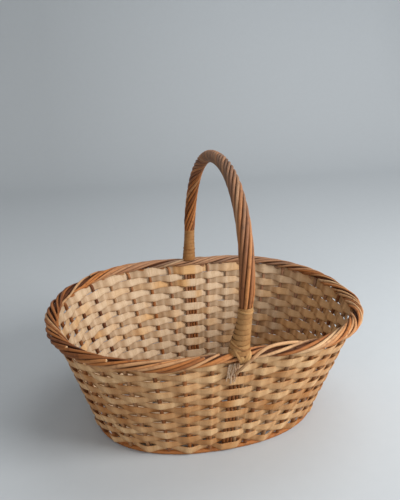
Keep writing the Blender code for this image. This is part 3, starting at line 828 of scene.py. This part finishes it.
class BasketWeave(bpy.types.PropertyGroup):
    """The split strips of the wall and the base."""

    base_rounds: FloatProperty(
        name="Base rounds", description="Rounds of the strip in the base", default=7.7, min=1, max=8
    )
    strip_width: length_setting(
        "Strip width", "Width where a strip passes from side to side", 0.0099, 0.004, 0.012
    )
    swell: FloatProperty(
        name="Swell", description="How much wider a strip lies as it passes a stake",
        default=0.16, min=0, max=0.3, subtype="FACTOR",
    )
    slant: length_setting(
        "Slant", "How far a strip drops as it passes into the wall and rises as it comes out",
        0.00018, 0, 0.002,
    )
    steps: count_setting("Steps", "Steps of a strip from one stake to the next", 14, 5, 24)
    seed: IntProperty(name="Seed", description="Changes the small irregularities", default=7, min=0)


class BasketRods(bpy.types.PropertyGroup):
    """The border, the handle and its bindings."""

    border_rod: length_setting(
        "Border rod", "Radius of a rod where it starts over the border", 0.00215, 0.001, 0.004
    )
    rope_turns: FloatProperty(
        name="Rope turns", description="How many times the rods go round the bow", default=3.9, min=0, max=8
    )
    rope_rods: count_setting("Rope rods", "Rods round the bow", 9, 6, 14)
    binding_turns: count_setting("Binding turns", "Turns of skein on a leg of the handle", 9, 4, 20)


class BasketStage(bpy.types.PropertyGroup):
    """The floor, lights and camera."""

    floor: colour_setting("Floor", "Colour of the floor and backdrop", (0.485, 0.522, 0.553))
    # Painted light: the backdrop's colour where it is lit most, at the far right
    painted_light_far_wall: colour_setting("Far wall", "Colour of the backdrop at the far right", (0.755, 0.81, 0.858))
    key: FloatProperty(
        name="Key light", description="Power of the main light", default=22, min=0, unit="POWER"
    )
    fill: FloatProperty(name="Fill light", description="Strength of the even light", default=0.42, min=0)
    lens: FloatProperty(
        name="Lens", description="Focal length", default=40.26, min=1, subtype="DISTANCE_CAMERA"
    )


# Operators

class BASKET_OT_weavers(bpy.types.Operator):
    """Randed rows of flat split willow, whose tone changes where one strip takes over from another"""

    bl_idname = "basket.weavers"
    bl_label = "Weavers"

    def execute(self, context):
        weave = context.scene.basket_weave
        material = strip_material()
        low = rise_at(WALL_BOTTOM)
        high = rise_at(WALL_TOP - STAKE_RADIUS / 2 - GAP)
        for row in range(ROW_COUNT):
            dice = np.random.default_rng(weave.seed * 100 + row)
            self.make_row(row, blend(low, high, (row + 1 / 2) / ROW_COUNT), weave, dice, material)
        return {"FINISHED"}

    def make_row(self, row, rise, weave, dice, material):
        turns, outs, drops = self.way(row, rise, weave, dice)
        centre, outward, rising = self.middle(turns, rise, outs, drops, dice)
        swelling = weave.swell * np.clip(np.abs(outs) / WEAVE_REACH, 0, 1) ** 1.5
        half = weave.strip_width / 2 * (1 + swelling)
        half = half * (1 + slow_noise(dice, len(turns), *WIDTH_NOISE))
        if row == 0:
            swing = (outs / WEAVE_REACH)[:, None]
            centre = centre - rising * FIRST_ROW_DROP * swing + outward * FIRST_ROW_OUT * np.clip(swing, 0, 1)
        if row == ROW_COUNT - 1:
            centre = centre + rising * LAST_ROW_LIFT
            half = half + LAST_ROW_WIDER
        rings = section_rings(centre, rising, outward, STRIP_PLACES, STRIP_DEPTHS * STRIP_THICKNESS, half)
        marks = {
            "tone": self.tones(turns, row, weave, dice)[:, None],
            "skin": (STRIP_DEPTHS > 0)[None] * 1.0,
            "shade": self.shade(outs),
        }
        along = lengths_along(np.concatenate([centre, centre[:1]])) + row * GRAIN_SHIFT
        across = section_widths(STRIP_PLACES, weave.strip_width / 2, GRAIN_START)
        bm = bmesh.new()
        add_skin(bm, rings, along, across, marks, round_trip=True)
        name = f"weaver_{row + 1:02d}"
        finish_mesh(f"{name}_strip", bm, material, name)

    def way(self, row, rise, weave, dice):
        """From stake to stake: the turns along the row, and how far out and down the strip lies there."""
        track = plan(TURNS, rise)
        length = np.hypot(np.diff(track[0]), np.diff(track[1])).sum()
        spread = 2 * BUNDLE_PITCH / length
        stops, sides = [], []
        for number in range(STAKE_COUNT):
            side = 1 if (number + row) % 2 else -1
            for shift in (-spread, spread) if is_station(number) else (0,):
                stops.append(stake_turn(number) + shift)
                sides.append(side * dice.uniform(*SIDE_NOISE))
        stops.append(stops[0] + 1)
        sides.append(sides[0])
        shares = np.linspace(0, 1, weave.steps, endpoint=False)
        shares = shares - np.sin(4 * math.pi * shares) * STEP_GATHER
        wave = 0.5 * (1 - 2 * shares) + 0.5 * np.cos(math.pi * shares)
        turns, outs, drops = [], [], []
        for before, after, side, side_after in zip(stops, stops[1:], sides, sides[1:]):
            turns.append(blend(before, after, shares))
            outs.append(WEAVE_REACH * (side_after + (side - side_after) * (wave + 1) / 2))
            drops.append(np.sin(math.pi * shares) ** 2 * np.sign(round(side_after - side)) * weave.slant)
        return np.concatenate(turns), np.concatenate(outs), np.concatenate(drops)

    def middle(self, turns, rise, outs, drops, dice):
        """The middle of the strip, and which way its face and its upper edge look."""
        lift = slow_noise(dice, len(turns), *LIFT_NOISE) - drops
        centre = wall_point(turns, rise, outs, lift).T
        rising = unit(wall_point(turns, rise + 0.01, outs, lift).T - centre)
        outward = unit(np.cross(unit(np.roll(centre, -1, 0) - np.roll(centre, 1, 0)), rising))
        tilt = slow_noise(dice, len(turns), *TILT_NOISE)[:, None]
        cos, sin = np.cos(tilt), np.sin(tilt)
        return centre, outward * cos + rising * sin, rising * cos - outward * sin

    def shade(self, outs):
        """Darker where the strip passes through the wall, and along its edges."""
        rate = (np.roll(outs, -1) - np.roll(outs, 1)) / np.abs(np.diff(outs)).max() / 2
        outside = PASSING_SHADE * np.abs(rate) ** 2
        inside = PASSING_SHADE_INSIDE * np.abs(rate) ** 2 + ENTERING_SHADE * np.clip(rate, 0, 1) ** 2
        faces = np.where(STRIP_DEPTHS > 0, outside[:, None], inside[:, None])
        return np.clip(faces + np.interp(np.abs(STRIP_PLACES), *zip(*EDGE_SHADE)), 0, 1)

    def tones(self, turns, row, weave, dice):
        """Each strip has its own tone, which wanders a little; at the right end it is pushed golden and
        darker as painted shade.
        """
        joins = np.sort(dice.choice(np.arange(STAKE_COUNT), STRIPS_PER_ROW, replace=False))
        tones = dice.beta(1.6, 2.2, STRIPS_PER_ROW)
        tone = tones[np.searchsorted(joins / STAKE_COUNT, np.mod(turns, 1)) % STRIPS_PER_ROW]
        soft = np.ones(weave.steps) / weave.steps
        tone = np.convolve(np.tile(tone, 3), soft, "same")[len(tone):2 * len(tone)]
        tone = tone + slow_noise(dice, len(tone), *TONE_NOISE)
        # Painted shade: the warm dark of the shaded right end, put into the tone
        tone = blend(tone, 1.0, 0.9 * np.clip(np.cos(2 * math.pi * (turns - 0.01)), 0, 1) ** 2)
        if row == ROW_COUNT - 1:
            tone = tone + 0.9 * ((turns > LAST_ROW_GOLDEN[0]) & (turns < LAST_ROW_GOLDEN[1]))
        return np.clip(tone, 0, 1)


class BASKET_OT_stakes(bpy.types.Operator):
    """Round stakes that stand in the wall, and whose tails make the rolled border"""

    bl_idname = "basket.stakes"
    bl_label = "Stakes and border"

    def execute(self, context):
        rods = context.scene.basket_rods
        material = rod_material()
        for number in range(STAKE_COUNT):
            dice = np.random.default_rng(500 + number)
            name = f"stake_{number + 1:02d}"
            bm = bmesh.new()
            self.add_stake(bm, number, rods, dice)
            if number == FRONT_STATION:
                self.add_cross_rod(bm, dice)
            elif number != FRONT_STATION - 1:
                self.add_second(bm, number, rods, dice)
            finish_mesh(f"{name}_rod", bm, material, name)
        return {"FINISHED"}

    def tail(self, number, start, spread, dice):
        """The part of a rod that rolls over the border, from outside to inside.

        It passes fewer stakes round the right end of the oval, where the rods lie steeper.
        """
        right = max(0, math.cos(2 * math.pi * math.floor(number) / STAKE_COUNT))
        reach = dice.normal(TAIL_STAKES - TAIL_STAKES_LESS * right ** 2, spread)
        last = CUT_SHORT.get(number, 1.0)
        swing = dice.uniform(-TAIL_SWING, TAIL_SWING)
        wide = BORDER_HALF_WIDTH + dice.normal(*TAIL_WIDE)
        tall = BORDER_HALF_HEIGHT + dice.normal(*TAIL_TALL) + (CUT_PROUD if last < 1 else 0)
        points = []
        for share in np.linspace(0, last, TAIL_POINTS):
            angle = blend(LANE_FROM, LANE_TO, share + 0.03 * math.sin(2 * math.pi * share)) + swing
            out = BORDER_SHIFT_OUT + wide * math.cos(angle)
            points.append(wall_point(stake_turn(start + reach * share), 1.0, out, tall * math.sin(angle)))
        return points

    def add_border_rod(self, bm, number, points, radii, dim, dice):
        """The border is darkest at the left end and palest beside the front foot of the handle."""
        tone = np.interp(number, *zip(*BORDER_TONES)) + dice.normal(0, BORDER_TONE_SPREAD)
        faded = float(np.interp(math.floor(number), *zip(*BORDER_FADING)))
        add_rod(
            bm, points, radii, float(np.clip(tone, 0.02, 1)), dice, bleached=faded, hub=self.hub(points),
            dim=np.maximum(dim, faded),
        )

    def add_stake(self, bm, number, rods, dice):
        """Up the wall, then over the border, where a rod inside, dark with painted shade, closes the gaps."""
        count = 140
        along = 1.5 * BUNDLE_PITCH if is_station(number) else 0
        wall = [
            wall_point(stake_turn(number), rise, along=along)
            for rise in np.linspace(rise_at(WALL_BOTTOM), rise_at(WALL_TOP), 14)
        ]
        points = even_line(soften(wall + self.tail(number, number + 0.2, 0.2, dice), 2), count)
        radii = np.interp(
            points[:, 2], [WALL_TOP - 0.010, WALL_TOP + 0.003], [STAKE_RADIUS * 1.22, rods.border_rod]
        )
        radii = radii * np.linspace(1, 0.9, count) * dice.uniform(0.92, 1.08)
        dim = np.interp(points[:, 2], [WALL_TOP - 0.012, WALL_TOP], [STAKE_DIM, 0])
        self.add_border_rod(bm, number, points, radii, dim, dice)
        inner = [
            wall_point(stake_turn(number + share), 1.0, BORDER_SHIFT_OUT, -INNER_ROD_DROP)
            for share in np.linspace(-0.1, 1.1, 12)
        ]
        # The inner rod's darkest tone and strong dim are painted shade in the gaps of the border
        add_rod(bm, inner, INNER_ROD_RADIUS, INNER_ROD_SHADE_TONE, dice, sides=8, dim=INNER_ROD_SHADE_DIM)

    def add_second(self, bm, number, rods, dice):
        """The shorter rod beside each stake, which starts under the border."""
        count = 110
        start = [wall_point(stake_turn(number + share), 0.965, out=-0.0005) for share in (0.22, 0.36)]
        points = even_line(soften(start + self.tail(number + 0.5, number + 0.7, 0.25, dice), 2), count)
        radii = rods.border_rod * np.linspace(1.0, 0.85, count) * dice.uniform(0.80, 1.05)
        self.add_border_rod(bm, number + 0.5, points, radii, 0, dice)

    def add_cross_rod(self, bm, dice):
        """The pale rod that crosses the border in front of the handle's foot."""
        points = [
            wall_point(FRONT_TURN + along / RIM_LENGTH, 1.0, out, up) for along, out, up in CROSS_ROD_ROUTE
        ]
        add_rod(bm, even_line(soften(points, 3), 60), np.linspace(0.0016, 0.0021, 60), 0.86, dice)

    def hub(self, points):
        """The middle of the border beside each point of a rod, but none down in the wall."""
        angle = np.mod(np.arctan2(points[:, 1], points[:, 0]) / (2 * math.pi), 1)
        middle = wall_point(np.interp(angle, RIM_ANGLES, TURNS), 1.0, BORDER_SHIFT_OUT, -0.001).T
        return np.where(points[:, 2:] < WALL_TOP, np.nan, middle)


class BASKET_OT_handle(bpy.types.Operator):
    """Willow rods roped round the bow, three of which run on down the wall at each foot"""

    bl_idname = "basket.handle"
    bl_label = "Handle"

    def execute(self, context):
        rods = context.scene.basket_rods
        dice = np.random.default_rng(40)
        bow = [bow_point(share) for share in np.linspace(0, 1, 90)]
        bow = even_line(soften([leg_foot(FRONT_TURN), *bow, leg_foot(BACK_TURN)], 1), 300)
        bm = bmesh.new()
        self.add_rope(bm, bow, rods, dice)
        self.add_tails(bm, FRONT_TURN, dice)
        self.add_fibres(bm, FRONT_TURN, dice)
        self.add_tails(bm, BACK_TURN, dice)
        finish_mesh("handle_rope", bm, rod_material(), "handle")
        return {"FINISHED"}

    def add_rope(self, bm, bow, rods, dice):
        """The rods are nearly straight on the front leg; they twist most just behind the top."""
        count = len(bow)
        side, over = carried_sides(bow, np.array([1.0, 0, 0]))
        shares = np.linspace(0, 1, count)
        twist = np.cumsum(np.interp(shares, *zip(*ROPE_TWIST)))
        twist = rods.rope_turns * twist / twist[-1]
        thin = 1 - 0.10 * np.sin(math.pi * shares)
        thin = thin * np.interp(shares, *zip(*ROPE_THINNING))
        sine = math.sin(math.pi / rods.rope_rods)
        rod_radius = HANDLE_RADIUS * sine / (1 + sine)
        for index in range(rods.rope_rods):
            angle = 2 * math.pi * (index / rods.rope_rods + twist) + slow_noise(dice, count, 6, 0.05)
            radius = rod_radius * dice.uniform(0.90, 1.08)
            reach = (HANDLE_RADIUS - radius) * thin
            line = bow + side * (np.cos(angle) * reach)[:, None] + over * (np.sin(angle) * reach)[:, None]
            tone = ROPE_TONES[index % len(ROPE_TONES)]
            worn = np.exp(-(((shares - WORN_PLACE) / WORN_REACH) ** 2)) * dice.uniform(0.5, 1.5)
            add_rod(
                bm, line, radius * thin, tone, dice, bleached=WORN_BLEACHED * worn, hub=bow,
                dim=WORN_DIM * worn,
            )
        # A core inside the rope, at the darkest tone: painted shade in the gaps between the rods
        add_rod(bm, bow, (HANDLE_RADIUS - 2 * rod_radius) * 1.1 * thin, 0.0, dice)

    def add_tails(self, bm, turn, dice):
        """Three rods that run on down the wall."""
        for place in (-1.5, -0.5, 0.5):
            along = place * BUNDLE_PITCH
            foot = BORDER_DROP + LEG_CLEARANCE + 0.002
            points = [
                wall_point(turn, 1.0, BORDER_SHIFT_OUT, foot, along * 0.66),
                wall_point(turn, 1.0, BORDER_SHIFT_OUT, -BORDER_HALF_HEIGHT / 2, along * 0.80),
            ]
            rises = (rise_at(WALL_TOP), *np.linspace(0.8, 0.05, 6))
            points += [wall_point(turn, rise, along=along) for rise in rises]
            points = even_line(soften(points, 2), 70)
            radius = STAKE_RADIUS * dice.uniform(0.95, 1.1)
            add_rod(bm, points, radius, dice.uniform(0.25, 0.5), dice, dim=TAIL_DIM)

    def add_fibres(self, bm, turn, dice):
        """Pale fibres of a frayed rod under the front binding."""
        for place in FIBRE_PLACES:
            along = place + dice.uniform(-0.0006, 0.0006)
            points = []
            for rise in np.linspace(FIBRE_TOP, dice.uniform(*FIBRE_BOTTOM), 12):
                out = FIBRE_OUT + dice.uniform(-0.0005, 0.0005)
                points.append(wall_point(turn, rise, out, 0, along + dice.uniform(-0.0007, 0.0007)))
            radius = dice.uniform(0.0004, 0.0008)
            add_rod(bm, soften(points, 1), radius, 0.8, dice, sides=6, bleached=dice.uniform(0.1, 0.85))


class BASKET_OT_bindings(bpy.types.Operator):
    """Flat skein wound round the two feet of the handle, and the lashing that ties the front one"""

    bl_idname = "basket.bindings"
    bl_label = "Bindings"

    def execute(self, context):
        turns = context.scene.basket_rods.binding_turns
        material = skein_material()
        for turn, share, (name, form, skein, rings) in zip((FRONT_TURN, BACK_TURN), (0, 1), BINDINGS):
            bm = bmesh.new()
            leg = Leg(turn, bow_point(share), *form)
            self.wind(bm, leg, turns, *skein)
            for ring in rings:
                self.add_ring(bm, leg, *ring)
            finish_mesh(f"{name}_skein", bm, material, name)
        bm = bmesh.new()
        self.lash(bm)
        finish_mesh("lashing_front_skein", bm, material, "lashing_front")
        return {"FINISHED"}

    def wind(self, bm, leg, turns, low, tone, seed):
        """One skein wound up the leg, each turn laid against the last."""
        dice = np.random.default_rng(seed)
        pitch = leg.height / (turns + 0.4)
        count = turns * 30 + 1
        angle = np.linspace(0, 2 * math.pi * turns, count) + 2.2
        level = np.linspace(low, turns + 0.5, count) * pitch + slow_noise(dice, count, 16, 0.00018)
        centre, radial = leg.place(angle, level, slow_noise(dice, count, 18, 0.00010))
        tone = tone + slow_noise(dice, count, 24, 0.32)
        half = pitch * (turns + 0.5 - low) / turns * 0.525
        upward = np.broadcast_to(leg.axis, centre.shape)
        add_tape(bm, centre, upward, radial, half, tone, WOUND_EDGE, WOUND_THICKNESS)

    def add_ring(self, bm, leg, level, slope, half, tone, edge):
        """One separate turn, tilted so that it is higher on the left."""
        angle = np.linspace(0.4, 0.4 + 2 * math.pi, 61)
        centre, radial = leg.place(angle, level - slope * np.cos(angle), 0.0004)
        add_tape(bm, centre, np.broadcast_to(leg.axis, centre.shape), radial, half, tone, edge)

    def lash(self, bm):
        """Two flat ends of skein that come down from the binding, cross the border and meet under it."""
        origin = wall_point(FRONT_TURN, 1.0)
        basis = np.array([
            unit(wall_point(FRONT_TURN, 1.0, along=0.001) - origin),
            unit(wall_point(FRONT_TURN, 1.0, out=0.001) - origin), [0, 0, 1],
        ])
        count = 46
        for route in map(np.array, LASHING_ROUTES):
            knots = lengths_along(route[:, :3])
            shares = np.linspace(0, knots[-1], count)
            line = even_line(soften(route[:, :3], 3), count)
            facing = np.stack([np.interp(shares, knots, column) for column in route[:, 3:].T], 1)
            ahead = unit(np.gradient(line, axis=0))
            facing = unit(facing - ahead * (facing * ahead).sum(1)[:, None])
            wide = np.cross(ahead, facing)
            for place, tone in BAND_TONES:
                centre = origin + (line + wide * place * BAND_SPREAD) @ basis
                add_tape(bm, centre, wide @ basis, facing @ basis, BAND_HALF_WIDTH, tone, 0.5)


class Leg:
    """A bound leg of the handle: its axis, and how the binding widens and leans at its foot."""

    def __init__(self, turn, top, height, radius, flare, lean):
        self.foot = leg_foot(turn)
        self.axis = unit(top - self.foot)
        self.side = unit(np.cross([0, 1, 0], self.axis))
        self.over = np.cross(self.axis, self.side)
        self.height, self.radius, self.flare, self.lean = height, radius, flare, lean

    def place(self, angle, level, proud):
        """Places round the leg at these angles and levels, and the way out from the leg there."""
        low = np.clip(1 - level / self.height, 0, 1) ** 2
        radial = self.side * np.cos(angle)[:, None] + self.over * np.sin(angle)[:, None]
        reach = self.radius + self.flare * low + proud
        middle = self.foot + self.axis * level[:, None] + self.side * (self.lean * low)[:, None]
        return middle + radial * reach[:, None], radial


class BASKET_OT_base(bpy.types.Operator):
    """The foot rod, the sticks of the base and the strip woven through them"""

    bl_idname = "basket.base"
    bl_label = "Foot and base"

    def execute(self, context):
        dice = np.random.default_rng(80)
        material = rod_material()
        bm = bmesh.new()
        self.add_foot(bm, dice)
        finish_mesh("foot_rod_bark", bm, material, "foot_rod")
        bm = bmesh.new()
        self.add_sticks(bm, dice)
        finish_mesh("base_sticks_bark", bm, material, "base_sticks")
        bm = bmesh.new()
        self.add_spiral(bm, context.scene.basket_weave.base_rounds, dice)
        finish_mesh("base_strip_face", bm, strip_material(), "base_strip")
        return {"FINISHED"}

    def add_foot(self, bm, dice):
        """Once round the edge, where its end laps its start; slim enough for its scars to clear the floor."""
        points = np.array([(*plan(turn, 0), FOOT_RADIUS) for turn in np.linspace(*FOOT_ROD_TURNS, 420)])
        points[-14:, 2] += np.linspace(0, FOOT_ROD_LAP, 14)
        add_rod(bm, points, FOOT_RADIUS * FOOT_ROD_SLIM, 0.37, dice, sides=14, knot_pitch=0.11)

    def add_sticks(self, bm, dice):
        """The cross sticks, then the long ones, one of which ends at a cross stick on the left."""
        for front, back in zip(cross_ends(-1), cross_ends(1)):
            self.add_stick(bm, [crossing(front, 0), crossing(back, 0)], CROSS_STICK_RADIUS, dice)
        left = long_ends(LONG_STICKS_LEFT, -1)
        for index, end in enumerate(long_ends(LONG_STICKS_RIGHT, 1)):
            if index < len(left):
                line = [crossing(left[index], 0), left[index][0]]
            else:
                line = [(CROSS_STICKS[-2], end[0][1])]
            self.add_stick(bm, [*line, end[0], crossing(end, 0)], LONG_STICK_RADIUS, dice)

    def add_stick(self, bm, line, radius, dice):
        points = even_line(soften([(x, y, BASE_LEVEL) for x, y in line], 2), 50)
        # dim is painted shade on the sticks, which lie among the strip of the base
        add_rod(bm, points, radius, dice.uniform(0.3, 0.55), dice, knot_pitch=0.06, dim=0.2)

    def add_spiral(self, bm, rounds, dice):
        """One strip that spirals in from the edge, over and under the stick ends in turn."""
        way = way_round()
        stops, passed = [], 0
        for step in range(round(rounds * len(way))):
            end, is_stick = way[step % len(way)]
            x, y = crossing(end, BASE_PITCH * (BASE_START + step / len(way)))
            passed += is_stick
            stops.append((x, y, BASE_LEVEL + BASE_LIFT * (1 if passed % 2 else -1) * is_stick))
        line = self.bent_line(np.array(stops))
        inward = unit(np.cross([0, 0, 1], np.gradient(line, axis=0) * (1, 1, 0)))
        half = BASE_PITCH / 2 * (1 + slow_noise(dice, len(line), 60, 0.03))
        upward = np.broadcast_to([0.0, 0, 1], line.shape)
        depths = BASE_STRIP_DEPTHS * STRIP_THICKNESS
        rings = section_rings(line, inward, upward, BASE_STRIP_PLACES, depths, half)
        tone = np.clip(0.45 + slow_noise(dice, len(line), 70, 0.35), 0, 1)
        marks = {
            "tone": tone[:, None], "skin": (depths < 0)[None] * 1.0,
            "shade": 0.5 * (np.abs(BASE_STRIP_PLACES) > 0.95)[None],
        }
        across = section_widths(BASE_STRIP_PLACES, BASE_PITCH / 2, GRAIN_START)
        add_skin(bm, rings, lengths_along(line), across, marks)

    def bent_line(self, stops):
        """A line through the stops that bends gently in plan and rises and falls between them."""
        start, stop = stops[:-1], stops[1:]
        before = np.concatenate([stops[:1], stops[:-2]])
        after = np.concatenate([stops[2:], stops[-1:]])
        line = []
        for share in np.linspace(0, 1, 8, endpoint=False):
            bend = (1 - share) * (2 * start - before - stop) + share * (2 * stop - after - start)
            points = blend(start, stop, share) + 0.5 * share * (1 - share) * bend
            points[:, 2] = blend(start[:, 2], stop[:, 2], (1 - math.cos(math.pi * share)) / 2)
            line.append(points)
        return np.stack(line, 1).reshape(-1, 3)


class BASKET_OT_stage(bpy.types.Operator):
    """Plain floor and backdrop, soft lights and the camera"""

    bl_idname = "basket.stage"
    bl_label = "Stage"

    def execute(self, context):
        stage = context.scene.basket_stage
        self.make_floor(stage)
        self.make_lights(stage)
        self.make_camera(stage)
        return {"FINISHED"}

    def make_floor(self, stage):
        """A flat sheet whose far edge is spun up round a corner and drawn out into a wall."""
        bm = bmesh.new()
        bmesh.ops.create_grid(bm, x_segments=1, y_segments=1, size=FLOOR_HALF)
        bmesh.ops.translate(bm, verts=bm.verts, vec=(0, FLOOR_SHIFT, 0))
        back = FLOOR_HALF + FLOOR_SHIFT
        far = [edge for edge in bm.edges if all(vert.co.y > back / 2 for vert in edge.verts)]
        bmesh.ops.spin(
            bm, geom=far, cent=(0, back, CORNER_RADIUS), axis=(1, 0, 0), dvec=(0, 0, 0),
            angle=math.pi / 2, steps=24, use_duplicate=False,
        )
        top = [
            edge for edge in bm.edges
            if edge.is_boundary and all(vert.co.z > CORNER_RADIUS * 0.95 for vert in edge.verts)
        ]
        made = bmesh.ops.extrude_edge_only(bm, edges=top)["geom"]
        raised = [vert for vert in made if isinstance(vert, bmesh.types.BMVert)]
        bmesh.ops.translate(bm, verts=raised, vec=(0, 0, BACKDROP_RISE))
        bmesh.ops.remove_doubles(bm, verts=bm.verts, dist=FLOOR_MERGE)
        bmesh.ops.recalc_face_normals(bm, faces=bm.faces)
        for face in bm.faces:
            face.smooth = True
        link_mesh("floor", bm, backdrop_material(stage))

    def make_lights(self, stage):
        world = bpy.data.worlds.new("studio")
        bpy.context.scene.world = world
        world.use_nodes = True
        sky = world.node_tree.nodes["Background"]
        sky.inputs["Color"].default_value = SKY_COLOUR
        sky.inputs["Strength"].default_value = stage.fill
        for name, place, aim, size, share, colour in LAMPS:
            lamp = bpy.data.lights.new(name, "AREA")
            lamp.shape = "DISK"
            lamp.size = size
            lamp.energy = stage.key * share
            lamp.color = colour
            obj = bpy.data.objects.new(name, lamp)
            bpy.context.scene.collection.objects.link(obj)
            obj.location = place
            obj.rotation_euler = (Vector(aim) - Vector(place)).to_track_quat("-Z", "Y").to_euler()

    def make_camera(self, stage):
        """Looks back along a line from its aim, turned a little about that line."""
        flat = math.cos(CAMERA_RAISED)
        aside, nearer = math.sin(CAMERA_ASIDE) * flat, -math.cos(CAMERA_ASIDE) * flat
        back = Vector((aside, nearer, math.sin(CAMERA_RAISED)))
        right = (-back).cross(Vector((0, 0, 1))).normalized()
        up = right.cross(-back)
        cos, sin = math.cos(CAMERA_ROLL), math.sin(CAMERA_ROLL)
        data = bpy.data.cameras.new("camera")
        data.lens = stage.lens
        data.shift_x, data.shift_y = CAMERA_SHIFT
        camera = bpy.data.objects.new("camera", data)
        bpy.context.scene.collection.objects.link(camera)
        turned = Matrix((right * cos + up * sin, up * cos - right * sin, back)).transposed().to_4x4()
        camera.matrix_world = Matrix.Translation(Vector(CAMERA_AIM) + back * CAMERA_DISTANCE) @ turned
        bpy.context.scene.camera = camera


class BASKET_PT_panel(bpy.types.Panel):
    """Lists the pieces of the basket"""

    bl_label = "Foraging basket"
    bl_idname = "BASKET_PT_panel"
    bl_space_type = "VIEW_3D"
    bl_region_type = "UI"
    bl_category = "Basket"

    def draw(self, context):
        layout = self.layout
        for operator in OPERATORS:
            layout.operator(operator.bl_idname)
        for group in ("basket_weave", "basket_rods", "basket_colours", "basket_stage"):
            settings = getattr(context.scene, group)
            box = layout.box()
            for name in settings.__annotations__:
                box.prop(settings, name)


OPERATORS = (
    BASKET_OT_stage, BASKET_OT_weavers, BASKET_OT_stakes, BASKET_OT_handle, BASKET_OT_bindings,
    BASKET_OT_base,
)
GROUPS = {
    "basket_colours": BasketColours, "basket_weave": BasketWeave, "basket_rods": BasketRods,
    "basket_stage": BasketStage,
}


def register():
    for cls in (*GROUPS.values(), *OPERATORS, BASKET_PT_panel):
        bpy.utils.register_class(cls)
    for name, cls in GROUPS.items():
        setattr(bpy.types.Scene, name, PointerProperty(type=cls))


def unregister():
    for name in GROUPS:
        delattr(bpy.types.Scene, name)
    for cls in (BASKET_PT_panel, *reversed(OPERATORS), *reversed(GROUPS.values())):
        bpy.utils.unregister_class(cls)


def main():
    register()
    bpy.context.scene.view_settings.view_transform = "Standard"
    for operator in OPERATORS:
        group, name = operator.bl_idname.split(".")
        getattr(getattr(bpy.ops, group), name)()


if __name__ == "__main__":
    main()
